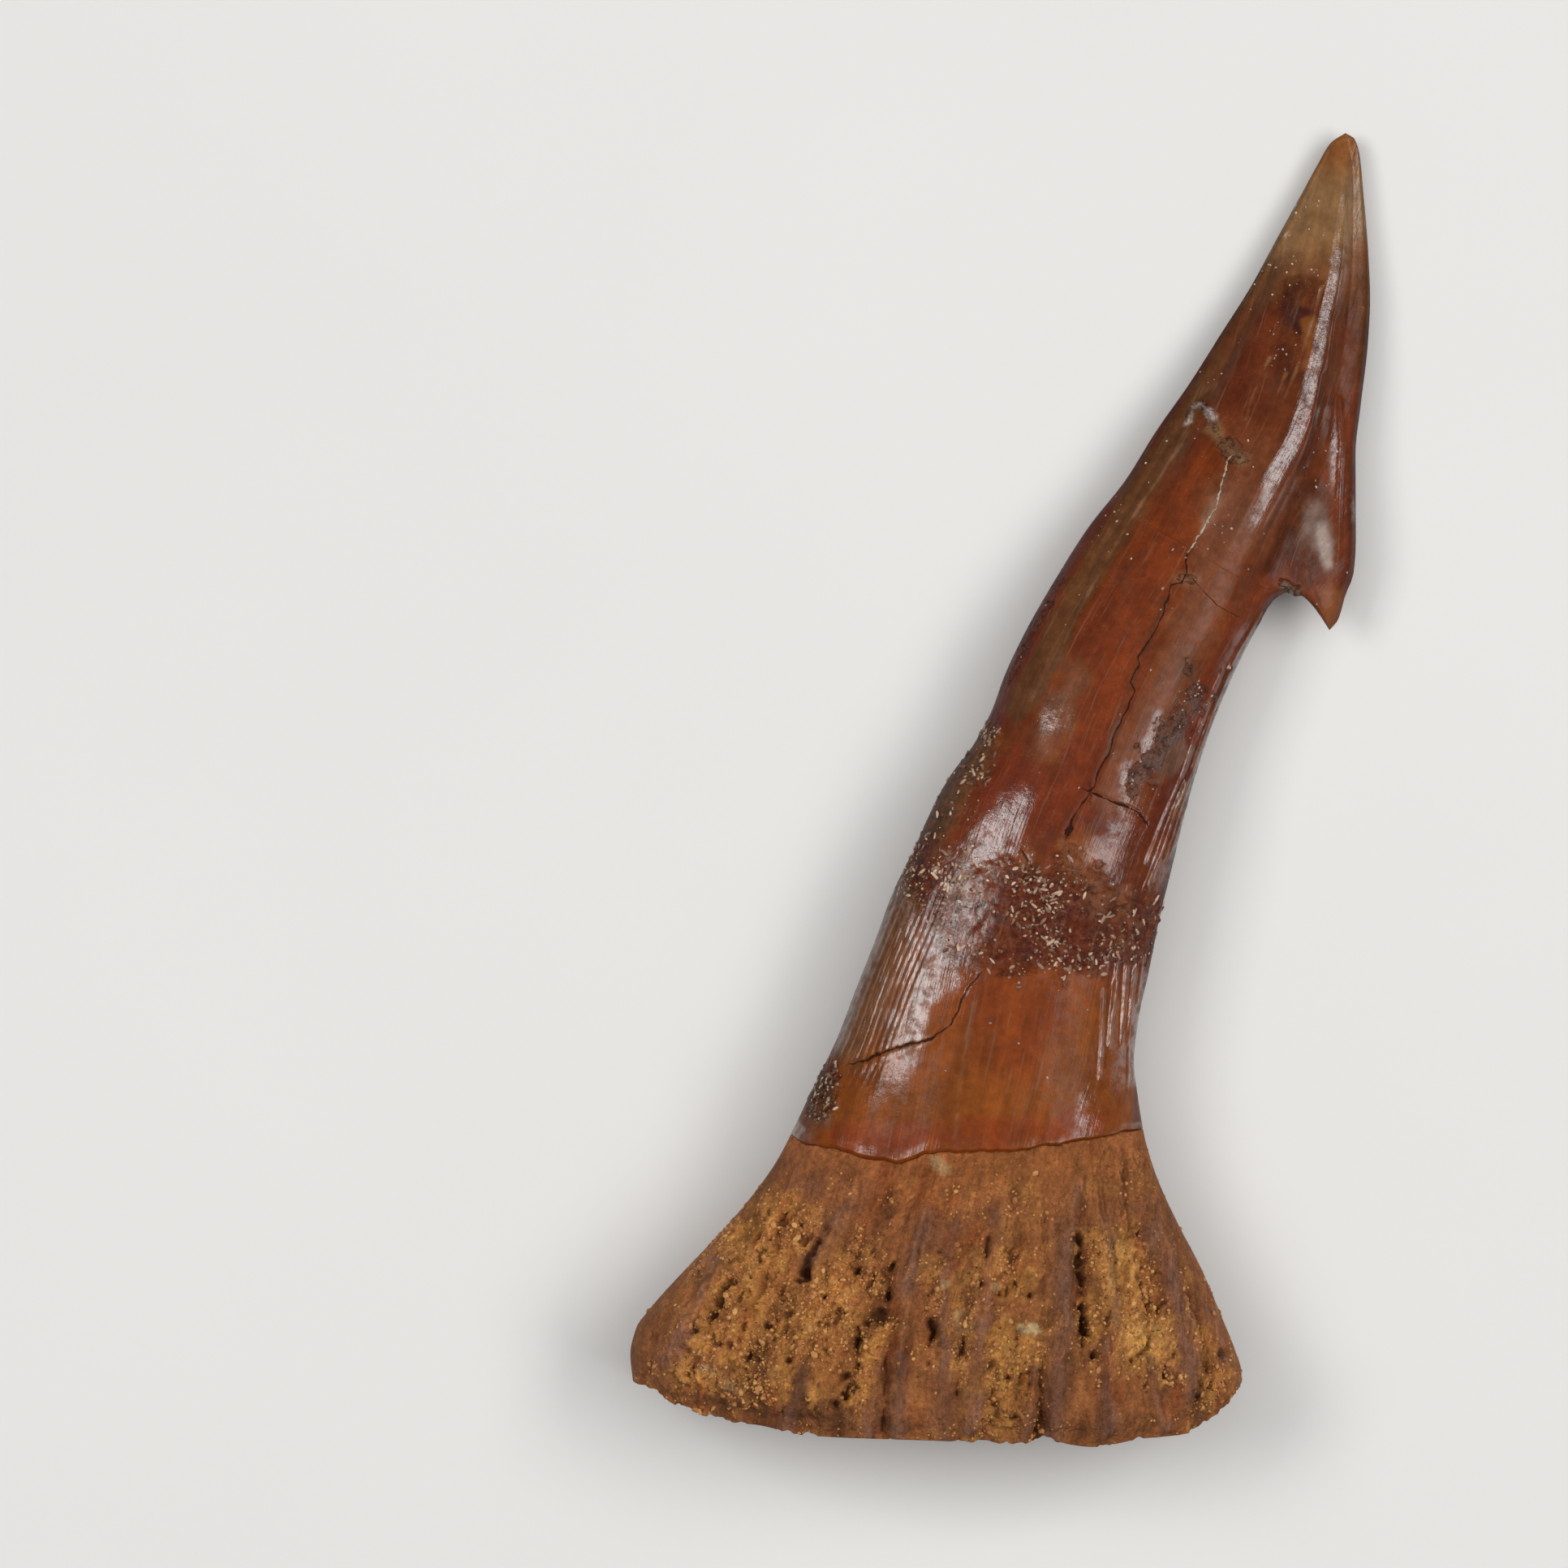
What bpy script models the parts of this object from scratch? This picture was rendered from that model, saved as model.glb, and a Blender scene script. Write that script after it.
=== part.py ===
"""A fossil sawfish rostral tooth, one solid, lying on its side.

The frame has +X to the right along the root's base, +Y from the root to the tip of the crown
and +Z up out of the surface that the tooth lies on. Sizes are in millimetres, and become
metres where the mesh is made.

The crown is a tapering, slightly hooked blade with one barb, and the root flares out below it
as a fluted fan. The surface is a grid of rows from the root's rim to the tip. Each row runs
across the tooth from its left edge, over the foot line of the barb's hollow, to its right edge.
Above the notch the right edge is the barb's blade, so the rows there bend down to the barb.
"""
import bpy
import bmesh
import numpy as np

MM = 0.001

# Driving sizes
ROOT_THICKNESS = 10.2
NECK_THICKNESS = 7.9
SHAFT_THICKNESS = 6.6
BARB_THICKNESS = 5.2
ENAMEL_STEP = 0.3
BASE_HOLLOW_DEPTH = 1.9
RIM_ROUNDING = 0.7
THINNEST = 0.12

# The plan outline, with the middle of the tooth's box at 0, 0
LEFT_EDGE = (
    (-16.22, -26.16), (-16.33, -25.02), (-16.08, -23.88), (-15.36, -22.88), (-13.97, -21.34),
    (-12.44, -19.74), (-11.05, -18.13), (-9.90, -16.52), (-9.15, -15.10), (-8.30, -13.31),
    (-7.26, -11.17), (-6.37, -8.85), (-5.59, -6.89), (-4.80, -4.75), (-3.77, -2.61),
    (-2.77, -0.46), (-2.12, 0.61), (-1.30, 1.68), (-0.45, 3.25), (0.16, 4.89), (1.20, 7.03),
    (2.44, 9.17), (3.80, 11.31), (5.48, 13.45), (6.83, 15.60), (8.33, 17.74), (9.69, 19.88),
    (11.05, 22.02), (12.22, 24.16), (13.40, 26.30), (14.11, 27.59), (14.65, 28.44), (15.26, 28.84),
)
RIGHT_EDGE = (
    (10.37, -26.16), (10.51, -25.80), (10.26, -24.91), (9.65, -23.38), (8.76, -21.27),
    (7.69, -19.20), (6.76, -17.13), (6.26, -15.45), (5.94, -13.49), (5.80, -12.24),
    (6.01, -10.28), (6.44, -8.32), (6.91, -6.00), (7.55, -3.39), (8.23, -0.64), (9.12, 2.21),
    (10.22, 4.89), (11.33, 7.03), (12.04, 8.17), (12.79, 8.60),
)
BARB_ARCH = ((14.47, 6.82), (13.97, 7.57), (13.44, 8.21), (12.79, 8.60))
BARB_EDGE = (
    (14.47, 6.82), (14.83, 7.24), (15.19, 8.39), (15.54, 9.31), (15.65, 10.78), (15.65, 14.53),
    (15.90, 16.85), (16.22, 19.52), (16.33, 21.48), (16.22, 24.16), (16.04, 26.30),
    (15.90, 27.73), (15.65, 28.59), (15.26, 28.84),
)
FOOT_LINE = (
    (3.77, -15.52), (3.87, -13.31), (4.01, -11.53), (4.19, -9.74), (4.55, -7.60), (5.19, -5.10),
    (5.84, -2.61), (6.62, -0.29), (7.76, 2.75), (9.12, 5.42), (10.44, 7.74), (11.08, 9.53),
    (11.80, 11.24), (12.69, 12.92), (13.83, 15.24), (14.29, 17.02), (14.65, 18.99),
    (14.94, 20.77), (15.19, 22.73), (15.33, 24.88), (15.42, 26.84), (15.36, 28.09), (15.26, 28.84),
)
ROOT_RIM = (
    (-16.22, -26.16), (-15.10, -26.66), (-14.04, -27.23), (-11.94, -27.80), (-10.75, -27.90),
    (-8.94, -28.30), (-3.02, -28.55), (0.90, -28.70), (1.60, -28.45), (2.34, -28.62),
    (3.94, -28.84), (5.91, -28.52), (8.19, -28.30), (9.48, -27.66), (10.08, -26.80), (10.37, -26.16),
)
ENAMEL_LINE = (
    (-9.26, -15.30), (-8.73, -15.74), (-7.66, -15.76), (-6.23, -16.17), (-4.80, -16.45),
    (-3.73, -16.24), (-1.95, -15.99), (0.20, -15.92), (2.34, -15.70), (4.12, -15.38), (6.19, -15.10),
)

# Stations up the tooth: the left edge's, foot line's and right edge's y, half of the thickness,
# and the height of the middle plane above the surface. The first two are the rim and the
# enamel's lower edge, NOTCH is the barb's notch, and the next is the tip of the barb.
STATIONS = (
    (-26.16, -27.70, -26.16, ROOT_THICKNESS / 2, 4.62),
    (-15.30, -15.40, -15.10, NECK_THICKNESS / 2, 4.45),
    (-8.85, -11.50, -11.90, 3.50, 4.15),
    (-2.61, -5.80, -6.50, SHAFT_THICKNESS / 2, 3.86),
    (1.68, -1.80, -2.61, 3.22, 3.64),
    (5.60, 1.60, 1.00, 3.10, 3.40),
    (9.17, 5.80, 5.00, 2.90, 3.12),
    (12.40, 8.80, 8.60, 2.72, 2.86),
    (15.00, 12.40, 6.82, BARB_THICKNESS / 2, 2.62),
    (16.60, 14.30, 11.00, 2.36, 2.36),
    (18.30, 16.60, 14.90, 2.10, 2.05),
    (20.20, 19.20, 18.40, 1.80, 1.73),
    (23.00, 22.40, 22.00, 1.36, 1.34),
    (26.00, 25.70, 25.50, 0.86, 1.08),
    (28.84, 28.84, 28.84, 0.00, 1.00),
)
NOTCH = 7
BARB_TIP = 8
LAST = len(STATIONS) - 1

# The station where the rim's rounding ends
RIM_ROUNDING_END = 0.09

# Where the foot line runs, as a share of a row's columns, and of the rim's and neck's length
FOOT_COLUMN = 0.72
RIM_FOOT_SHARE = 0.74
NECK_FOOT_SHARE = 0.845

# The rounded cross sections of the root and the shaft: the powers of their superellipses
ROOT_ROUNDNESS = (3.0, 0.48)
SHAFT_ROUNDNESS = (2.3, 0.56)

# The stations between which one cross section turns into the next
ROOT_TO_SHAFT = (0.3, 1.6)
BODY_TO_BLADE = (3.5, 8.5)
FLANK_TO_BARB = (6.2, 7.6)

# Heights across a row, as a share of half the thickness, from the left edge to the right one
BLADE_TOP = (
    (0.00, 0.00), (0.04, 0.15), (0.13, 0.28), (0.20, 0.50), (0.40, 0.82), (0.56, 0.95),
    (0.66, 1.00), (0.72, 0.66), (0.80, 0.34), (0.90, 0.30), (0.97, 0.20), (1.00, 0.00),
)
BLADE_UNDER = (
    (0.00, 0.00), (0.04, 0.15), (0.13, 0.34), (0.30, 0.74), (0.50, 1.00), (0.64, 0.92),
    (0.72, 0.64), (0.80, 0.38), (0.90, 0.30), (0.97, 0.20), (1.00, 0.00),
)

# The grid's columns and rows
COLUMNS_LEFT = 19
COLUMNS_RIGHT = 9
ROOT_ROWS = 17
CROWN_ROWS = 46
BASE_LAYERS = 5

# The root's raised flutes and its slits: points, width and height or depth
FLUTES = (
    (((2.8, -17.6), (2.6, -21.2), (2.6, -24.0), (2.2, -26.9), (2.0, -28.5)), 0.75, 0.50),
    (((-4.1, -20.0), (-4.4, -23.3), (-4.4, -28.3)), 0.70, 0.45),
    (((-5.5, -25.2), (-5.7, -28.3)), 0.55, 0.30),
    (((6.2, -18.6), (7.0, -21.5), (7.9, -26.0)), 0.80, 0.40),
    (((4.6, -20.5), (4.8, -24.4), (4.7, -28.0)), 0.60, 0.35),
    (((-0.1, -18.5), (-0.2, -22.5), (-0.6, -28.0)), 0.60, 0.30),
    (((-9.6, -18.8), (-11.6, -23.5), (-12.6, -27.0)), 0.90, 0.35),
)
SLITS = (
    (((-12.3, -22.2), (-13.2, -23.5)), 0.42, 0.80),
    (((-7.9, -19.2), (-8.8, -21.6)), 0.38, 0.75),
    (((-4.9, -21.3), (-5.6, -23.2)), 0.50, 0.95),
    (((-3.0, -23.2), (-3.5, -25.0)), 0.40, 0.80),
    (((-0.7, -19.2), (-0.6, -20.6)), 0.36, 0.50),
    (((3.3, -20.1), (3.6, -24.6)), 0.42, 0.95),
    (((-1.8, -24.2), (-2.1, -26.6)), 0.38, 0.65),
    (((-6.3, -23.8), (-6.8, -26.2)), 0.38, 0.60),
    (((1.0, -22.0), (0.6, -27.0)), 0.36, 0.45),
    (((-10.9, -24.4), (-12.6, -24.6)), 0.42, 0.55),
    (((6.0, -22.0), (6.3, -26.4)), 0.36, 0.40),
)

# Cracks in the crown, the crusts that stand on it and the patch of sandy matrix
CRACKS = (
    (((10.08, 14.42), (9.40, 12.21), (9.12, 11.67), (8.12, 10.24), (7.87, 8.89), (7.26, 8.28),
      (6.69, 6.85), (5.98, 5.42), (5.01, 2.57), (4.12, 0.61), (2.87, -2.07)), 0.26, 0.22),
    (((-1.05, -8.32), (-1.77, -9.21), (-2.30, -10.46), (-3.09, -10.99), (-6.51, -12.17)), 0.26, 0.24),
    (((3.77, -0.29), (4.84, -0.75), (6.33, -1.71)), 0.24, 0.16),
)
CRUSTS = (
    (((8.15, 5.07), (8.58, 3.82), (7.33, 2.39), (5.73, 0.25)), 0.60, 0.22),
    (((8.55, 16.60), (9.10, 15.70), (9.85, 14.90)), 0.50, 0.20),
    (((-7.60, -12.70), (-7.75, -14.20)), 0.70, 0.30),
    (((-1.23, 1.32), (-2.48, -0.82), (-3.37, -3.32)), 0.80, 0.22),
)
PATCH_MIDDLE = (1.30, -5.75)
PATCH_HALF_SIZE = (5.30, 2.75)
PATCH_LUMPS = 0.26

# The fine bright ridges of the right flank, as columns, with the stations where they run
RIDGE_HEIGHT = 0.16
RIDGE_STATIONS = (1.3, 2.0, 6.0, 7.0)

UNDERSIDE_FLUTES = 11
UNDERSIDE_PITS = 16
SEED = 7


def steady_curve(knots, at):
    """Read a smooth curve through the knots that never swings past them."""
    xs = np.array([knot[0] for knot in knots])
    ys = np.array([knot[1] for knot in knots])
    step = np.diff(xs)
    rise = np.diff(ys) / step
    slope = np.zeros(len(xs))
    same_way = rise[:-1] * rise[1:] > 0
    near = 2 * step[1:] + step[:-1]
    far = step[1:] + 2 * step[:-1]
    safe = np.where(same_way, rise[:-1] * rise[1:], 1)
    mean = (near + far) * safe / (near * rise[1:] + far * rise[:-1] + (~same_way) * 1e9)
    slope[1:-1] = np.where(same_way, mean, 0)
    slope[0] = rise[0]
    slope[-1] = rise[-1]
    at = np.clip(at, xs[0], xs[-1])
    cell = np.clip(np.searchsorted(xs, at, side="right") - 1, 0, len(xs) - 2)
    width = step[cell]
    t = (at - xs[cell]) / width
    start = (1 + 2 * t) * (1 - t) ** 2 * ys[cell] + t * (1 - t) ** 2 * width * slope[cell]
    end = t * t * (3 - 2 * t) * ys[cell + 1] + t * t * (t - 1) * width * slope[cell + 1]
    return start + end


def station_value(column, s):
    """Read one column of the stations at s, which counts them from the rim."""
    return steady_curve([(index, row[column]) for index, row in enumerate(STATIONS)], s)


def edge_x(edge, y):
    """Read an edge's x at a height y."""
    return steady_curve([(point[1], point[0]) for point in edge], y)


def along(points, share):
    """Read a line's point at a share of its length."""
    corners = np.array(points)
    runs = np.hypot(*np.diff(corners, axis=0).T)
    shares = np.concatenate(([0], np.cumsum(runs))) / runs.sum()
    x = steady_curve(list(zip(shares, corners[:, 0])), share)
    y = steady_curve(list(zip(shares, corners[:, 1])), share)
    return x, y


def ease(low, high, value):
    """Rise smoothly from 0 at low to 1 at high."""
    t = np.clip((value - low) / (high - low), 0, 1)
    return t * t * (3 - 2 * t)


def line_distance(x, y, points):
    """Measure the distance in plan to a line of points."""
    nearest = np.full(np.shape(x), 1e6)
    for (ax, ay), (bx, by) in zip(points[:-1], points[1:]):
        length = (bx - ax) ** 2 + (by - ay) ** 2
        t = np.clip(((x - ax) * (bx - ax) + (y - ay) * (by - ay)) / length, 0, 1)
        nearest = np.minimum(nearest, np.hypot(x - ax - t * (bx - ax), y - ay - t * (by - ay)))
    return nearest


def waves(x, y, scale, seed):
    """Sum a few seeded waves in plan into an uneven field from about -1 to 1."""
    draw = np.random.default_rng(seed)
    total = np.zeros_like(x)
    for _ in range(9):
        turn = draw.uniform(0, 2 * np.pi)
        reach = scale * draw.uniform(0.6, 1.6)
        start = draw.uniform(0, 2 * np.pi)
        total += np.sin((x * np.cos(turn) + y * np.sin(turn)) * 2 * np.pi / reach + start)
    return total / 4


def row_share(s, q):
    """Turn a column q into a share of the row's length."""
    left = np.clip(q / FOOT_COLUMN, 0, 1)
    right = np.clip((q - FOOT_COLUMN) / (1 - FOOT_COLUMN), 0, 1)
    foot = RIM_FOOT_SHARE + (NECK_FOOT_SHARE - RIM_FOOT_SHARE) * np.clip(s, 0, 1)
    return foot * left + (1 - foot) * right


def edges_at(s):
    """Find the left, foot and right points of the row at station s."""
    left_y, foot_y, right_y = (station_value(column, s) for column in range(3))
    left = (edge_x(LEFT_EDGE, left_y), left_y)
    foot = (edge_x(FOOT_LINE, foot_y), foot_y)
    if s <= NOTCH:
        right = (edge_x(RIGHT_EDGE, right_y), right_y)
    elif s <= BARB_TIP:
        right = (edge_x(BARB_ARCH, right_y), right_y)
    else:
        right = (edge_x(BARB_EDGE, right_y), right_y)
    return np.array(left), np.array(foot), np.array(right)


def root_plan(s, q):
    """Place the root's points in plan, between the rim and the enamel's edge."""
    share = row_share(s, q)
    rim = np.array(along(ROOT_RIM, share))
    neck = np.array(along(ENAMEL_LINE, share))
    left, _, right = edges_at(s)
    plan = (1 - s) * rim + s * neck
    first = (1 - s) * np.array(ROOT_RIM[0]) + s * np.array(ENAMEL_LINE[0])
    last = (1 - s) * np.array(ROOT_RIM[-1]) + s * np.array(ENAMEL_LINE[-1])
    return plan + np.outer(left - first, 1 - share) + np.outer(right - last, share)


def crown_plan(s, q):
    """Place the crown's points in plan, from the left edge over the foot line to the right."""
    left, foot, right = edges_at(s)
    to_foot = np.clip(q / FOOT_COLUMN, 0, 1)
    to_right = np.clip((q - FOOT_COLUMN) / (1 - FOOT_COLUMN), 0, 1)
    plan = left[:, None] + np.outer(foot - left, to_foot) + np.outer(right - foot, to_right)
    fade = 1 - ease(1, 2.2, s)
    if fade > 0:
        neck_left, neck_foot, neck_right = edges_at(1.0)
        straight = neck_left[:, None] + np.outer(neck_foot - neck_left, to_foot)
        straight = straight + np.outer(neck_right - neck_foot, to_right)
        bow = np.array(along(ENAMEL_LINE, row_share(1.0, q))) - straight
        plan = plan + fade * bow
    return plan


def cross_section(s, q, under):
    """Give the height across a row, as a share of half the thickness."""
    across = np.abs(2 * row_share(min(s, 1.0), q) - 1)
    root = (1 - across ** ROOT_ROUNDNESS[0]) ** ROOT_ROUNDNESS[1]
    shaft = (1 - across ** SHAFT_ROUNDNESS[0]) ** SHAFT_ROUNDNESS[1]
    blade = steady_curve(BLADE_UNDER if under else BLADE_TOP, q)
    body = root + (shaft - root) * ease(*ROOT_TO_SHAFT, s)
    left_blend = ease(*BODY_TO_BLADE, s)
    right_blend = ease(*FLANK_TO_BARB, s)
    right_side = ease(FOOT_COLUMN - 0.1, FOOT_COLUMN + 0.02, q)
    blend = left_blend + (right_blend - left_blend) * right_side
    return body + (blade - body) * blend


def top_relief(s, q, x, y):
    """Raise and sink the upper face: flutes, slits, ridges, cracks, crusts and lumps."""
    relief = np.zeros_like(x)
    if s < 1:
        grown = ease(1.0, 0.72, s)
        for points, width, height in FLUTES:
            relief += grown * height * np.exp(-(line_distance(x, y, points) / width) ** 2)
        for points, width, depth in SLITS:
            relief -= depth * np.exp(-(line_distance(x, y, points) / width) ** 2)
        relief += grown * 0.10 * waves(x * 1.6, y * 0.45, 1.6, SEED)
        relief -= ENAMEL_STEP
    else:
        for points, width, depth in CRACKS:
            relief -= depth * np.exp(-(line_distance(x, y, points) / width) ** 2)
        for points, width, height in CRUSTS:
            patchy = 0.75 + 0.45 * waves(x, y, 1.1, SEED + 1)
            relief += height * patchy * np.exp(-(line_distance(x, y, points) / width) ** 2)
        from_middle = np.hypot((x - PATCH_MIDDLE[0]) / PATCH_HALF_SIZE[0],
                               (y - PATCH_MIDDLE[1]) / PATCH_HALF_SIZE[1])
        relief += PATCH_LUMPS * ease(1.1, 0.75, from_middle) * (0.4 + 0.7 * waves(x, y, 0.9, SEED + 2))
        relief += flank_ridges(s, q)
    return relief * ease(0, 0.05, q) * ease(1, 0.97, q)


def under_relief(s, q, x, y):
    """Raise and sink the lower face, with flutes and pits of its own."""
    relief = np.zeros_like(x)
    draw = np.random.default_rng(SEED + 3)
    if s < 1:
        grown = ease(1.0, 0.70, s)
        for index in range(UNDERSIDE_FLUTES):
            middle = (index + draw.uniform(0.2, 0.8)) / UNDERSIDE_FLUTES
            height = draw.uniform(0.15, 0.45)
            relief += grown * height * np.exp(-((q - middle) / 0.026) ** 2)
        for _ in range(UNDERSIDE_PITS):
            middle = draw.uniform(0.1, 0.9)
            level = draw.uniform(0.1, 0.7)
            depth = draw.uniform(0.3, 0.8)
            relief -= depth * np.exp(-((q - middle) / 0.016) ** 2 - ((s - level) / 0.09) ** 2)
        relief -= ENAMEL_STEP
    else:
        relief += flank_ridges(s, q)
    return relief * ease(0, 0.05, q) * ease(1, 0.97, q)


def flank_ridges(s, q):
    """Raise the fine ridges that run down the right flank from the foot line."""
    start, full, fading, end = RIDGE_STATIONS
    strength = ease(start, full, s) * ease(end, fading, s)
    columns = (1 - FOOT_COLUMN) / COLUMNS_RIGHT
    wave = 0.5 + 0.5 * np.cos((q - FOOT_COLUMN) / columns * np.pi)
    return RIDGE_HEIGHT * strength * wave * (q >= FOOT_COLUMN - 1e-6) * (q < 0.95)


def make_row(s, q):
    """Make the upper and lower points of the row at station s."""
    x, y = root_plan(s, q) if s < 1 else crown_plan(s, q)
    half = station_value(3, s)
    middle = station_value(4, s)
    top = half * cross_section(s, q, False)
    under = half * cross_section(s, q, True)
    turned_in = RIM_ROUNDING * (1 - ease(0, RIM_ROUNDING_END, s)) * ease(0, 0.1, q) * ease(1, 0.95, q)
    top = top + top_relief(s, q, x, y) - turned_in
    under = under + under_relief(s, q, x, y) - turned_in * 0.4
    thinnest = THINNEST * min(1.0, half) * ease(0, 0.03, q) * ease(1, 0.985, q)
    top = np.maximum(top, thinnest)
    under = np.maximum(under, thinnest)
    upper = np.array([x, y, middle + top])
    lower = np.array([x, y, np.maximum(middle - under, 0)])
    return upper.T, lower.T


def column_places(finer):
    """Space the columns, closer together near both edges."""
    left_count = COLUMNS_LEFT * finer
    right_count = COLUMNS_RIGHT * finer
    i = np.arange(left_count + 1) / left_count
    j = np.arange(1, right_count + 1) / right_count
    left = FOOT_COLUMN * (0.45 * i + 0.55 * (1 - np.cos(i * np.pi / 2)))
    right = FOOT_COLUMN + (1 - FOOT_COLUMN) * (0.55 * j + 0.45 * np.sin(j * np.pi / 2))
    return np.concatenate((left, right))


def row_places():
    """Space the rows: close at the rim and the enamel's edge, even in the crown, close at the tip."""
    i = np.arange(ROOT_ROWS) / (ROOT_ROWS - 1)
    root = 0.985 * (0.8 * i + 0.2 * i ** 2)
    j = np.arange(CROWN_ROWS) / CROWN_ROWS
    crown = 1 + (LAST - 1) * (1.12 * j - 0.12 * j ** 3)
    for station in (NOTCH, BARB_TIP):
        crown[np.argmin(np.abs(crown - station))] = station
    return root, crown


def add_ring(mesh, upper, lower):
    """Add one row's points as a ring: over the top, then back along the underside."""
    points = np.concatenate((upper, lower[-2:0:-1])) * MM
    return [mesh.verts.new(point) for point in points]


def join_rings(mesh, near, far):
    """Face the band between two rings with as many points each."""
    count = len(near)
    for i in range(count):
        j = (i + 1) % count
        mesh.faces.new((near[i], near[j], far[j], far[i]))


def join_finer_ring(mesh, fine, coarse):
    """Face the band between a ring and one with half as many points."""
    count = len(coarse)
    for i in range(count):
        j = (i + 1) % count
        first, middle, last = fine[2 * i], fine[2 * i + 1], fine[(2 * i + 2) % len(fine)]
        mesh.faces.new((first, middle, coarse[i]))
        mesh.faces.new((middle, coarse[j], coarse[i]))
        mesh.faces.new((middle, last, coarse[j]))


def close_base(mesh, ring, q):
    """Close the root's end with its hollow, from the underside up to the top."""
    columns = len(q)
    top = ring[:columns]
    under = [ring[0]] + ring[:columns - 1:-1] + [ring[columns - 1]]
    layers = [under]
    for layer in range(1, BASE_LAYERS):
        v = layer / BASE_LAYERS
        line = [ring[0]]
        for i in range(1, columns - 1):
            point = under[i].co.lerp(top[i].co, v)
            hollow = (4 * v * (1 - v)) ** 0.8 * float(ease(0, 0.2, q[i]) * ease(1, 0.82, q[i]))
            point.y += BASE_HOLLOW_DEPTH * hollow * MM
            line.append(mesh.verts.new(point))
        line.append(ring[columns - 1])
        layers.append(line)
    layers.append(top)
    for lower, higher in zip(layers[:-1], layers[1:]):
        for i in range(columns - 1):
            corners = []
            for corner in (lower[i], lower[i + 1], higher[i + 1], higher[i]):
                if corner not in corners:
                    corners.append(corner)
            mesh.faces.new(corners)


def close_tip(mesh, ring):
    """Close the tip on one point."""
    x, y = LEFT_EDGE[-1]
    point = mesh.verts.new((x * MM, y * MM, STATIONS[-1][4] * MM))
    for i in range(len(ring)):
        mesh.faces.new((ring[i], ring[(i + 1) % len(ring)], point))


def stand_on_origin(mesh):
    """Move the points so that the middle of the tooth's box is over the origin, with its foot at 0."""
    points = np.array([vert.co for vert in mesh.verts])
    low = points.min(axis=0)
    high = points.max(axis=0)
    shift = np.array([(low[0] + high[0]) / 2, (low[1] + high[1]) / 2, low[2]])
    for vert, point in zip(mesh.verts, points - shift):
        vert.co = point


def make_tooth():
    """Build the tooth's closed surface, row by row."""
    mesh = bmesh.new()
    fine_columns = column_places(2)
    columns = fine_columns[::2]
    root_rows, crown_rows = row_places()
    root_rings = [add_ring(mesh, *make_row(s, fine_columns)) for s in root_rows]
    crown_rings = [add_ring(mesh, *make_row(s, columns)) for s in crown_rows]
    for near, far in zip(root_rings[:-1], root_rings[1:]):
        join_rings(mesh, near, far)
    join_finer_ring(mesh, root_rings[-1], crown_rings[0])
    for near, far in zip(crown_rings[:-1], crown_rings[1:]):
        join_rings(mesh, near, far)
    close_base(mesh, root_rings[0], fine_columns)
    close_tip(mesh, crown_rings[-1])
    stand_on_origin(mesh)
    bmesh.ops.recalc_face_normals(mesh, faces=mesh.faces)
    return mesh


def fossil_material():
    """Mix the brown of the fossil's enamel and bone."""
    material = bpy.data.materials.new("fossil_brown")
    material.use_nodes = True
    shader = material.node_tree.nodes["Principled BSDF"]
    shader.inputs["Base Color"].default_value = (0.17, 0.055, 0.018, 1)
    shader.inputs["Roughness"].default_value = 0.35
    shader.inputs["Metallic"].default_value = 0.0
    return material


def main():
    """Clear the scene and add the tooth."""
    for old in list(bpy.data.objects):
        bpy.data.objects.remove(old, do_unlink=True)
    mesh = make_tooth()
    data = bpy.data.meshes.new("rostral_tooth")
    mesh.to_mesh(data)
    mesh.free()
    data.materials.append(fossil_material())
    tooth = bpy.data.objects.new("rostral_tooth", data)
    bpy.context.collection.objects.link(tooth)
    data.shade_smooth()
    data.set_sharp_from_angle(angle=np.radians(40))


main()
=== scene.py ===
"""The looks of a fossil sawfish rostral tooth that lies on its side.

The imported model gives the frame: +Y from the root to the tip, +X to the barb's side, +Z up.
The tooth's surface is made again here, much finer, with its flutes, pits, cracks, crusts and
ridges as real relief. Marks are laid down in plan, in millimetres from the middle of the tooth.
"""
import functools
import logging
import math
from dataclasses import dataclass, field
from enum import Enum

import bpy
import numpy as np
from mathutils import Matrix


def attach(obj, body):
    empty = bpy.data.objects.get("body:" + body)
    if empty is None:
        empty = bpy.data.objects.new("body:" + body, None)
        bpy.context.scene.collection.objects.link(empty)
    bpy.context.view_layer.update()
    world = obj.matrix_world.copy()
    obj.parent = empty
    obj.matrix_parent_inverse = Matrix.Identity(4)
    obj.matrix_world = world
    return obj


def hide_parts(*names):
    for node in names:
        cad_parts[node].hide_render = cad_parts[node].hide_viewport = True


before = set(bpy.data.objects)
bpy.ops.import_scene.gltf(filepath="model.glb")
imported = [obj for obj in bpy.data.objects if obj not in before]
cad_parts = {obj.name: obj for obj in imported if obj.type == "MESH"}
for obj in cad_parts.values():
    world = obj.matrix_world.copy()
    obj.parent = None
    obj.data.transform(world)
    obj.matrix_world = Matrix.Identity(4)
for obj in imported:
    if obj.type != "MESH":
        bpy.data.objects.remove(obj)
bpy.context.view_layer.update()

MM = 0.001
NODE = "rostral_tooth"
BODY = "root"
FAN_WIDTH = 25
DARKEST = 0.003
BRIGHTEST = 0.9

Point = tuple[float, float]
Line = tuple[Point, ...]
Colour = tuple[float, float, float]
Field = np.ndarray

log = logging.getLogger("tooth")


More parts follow.
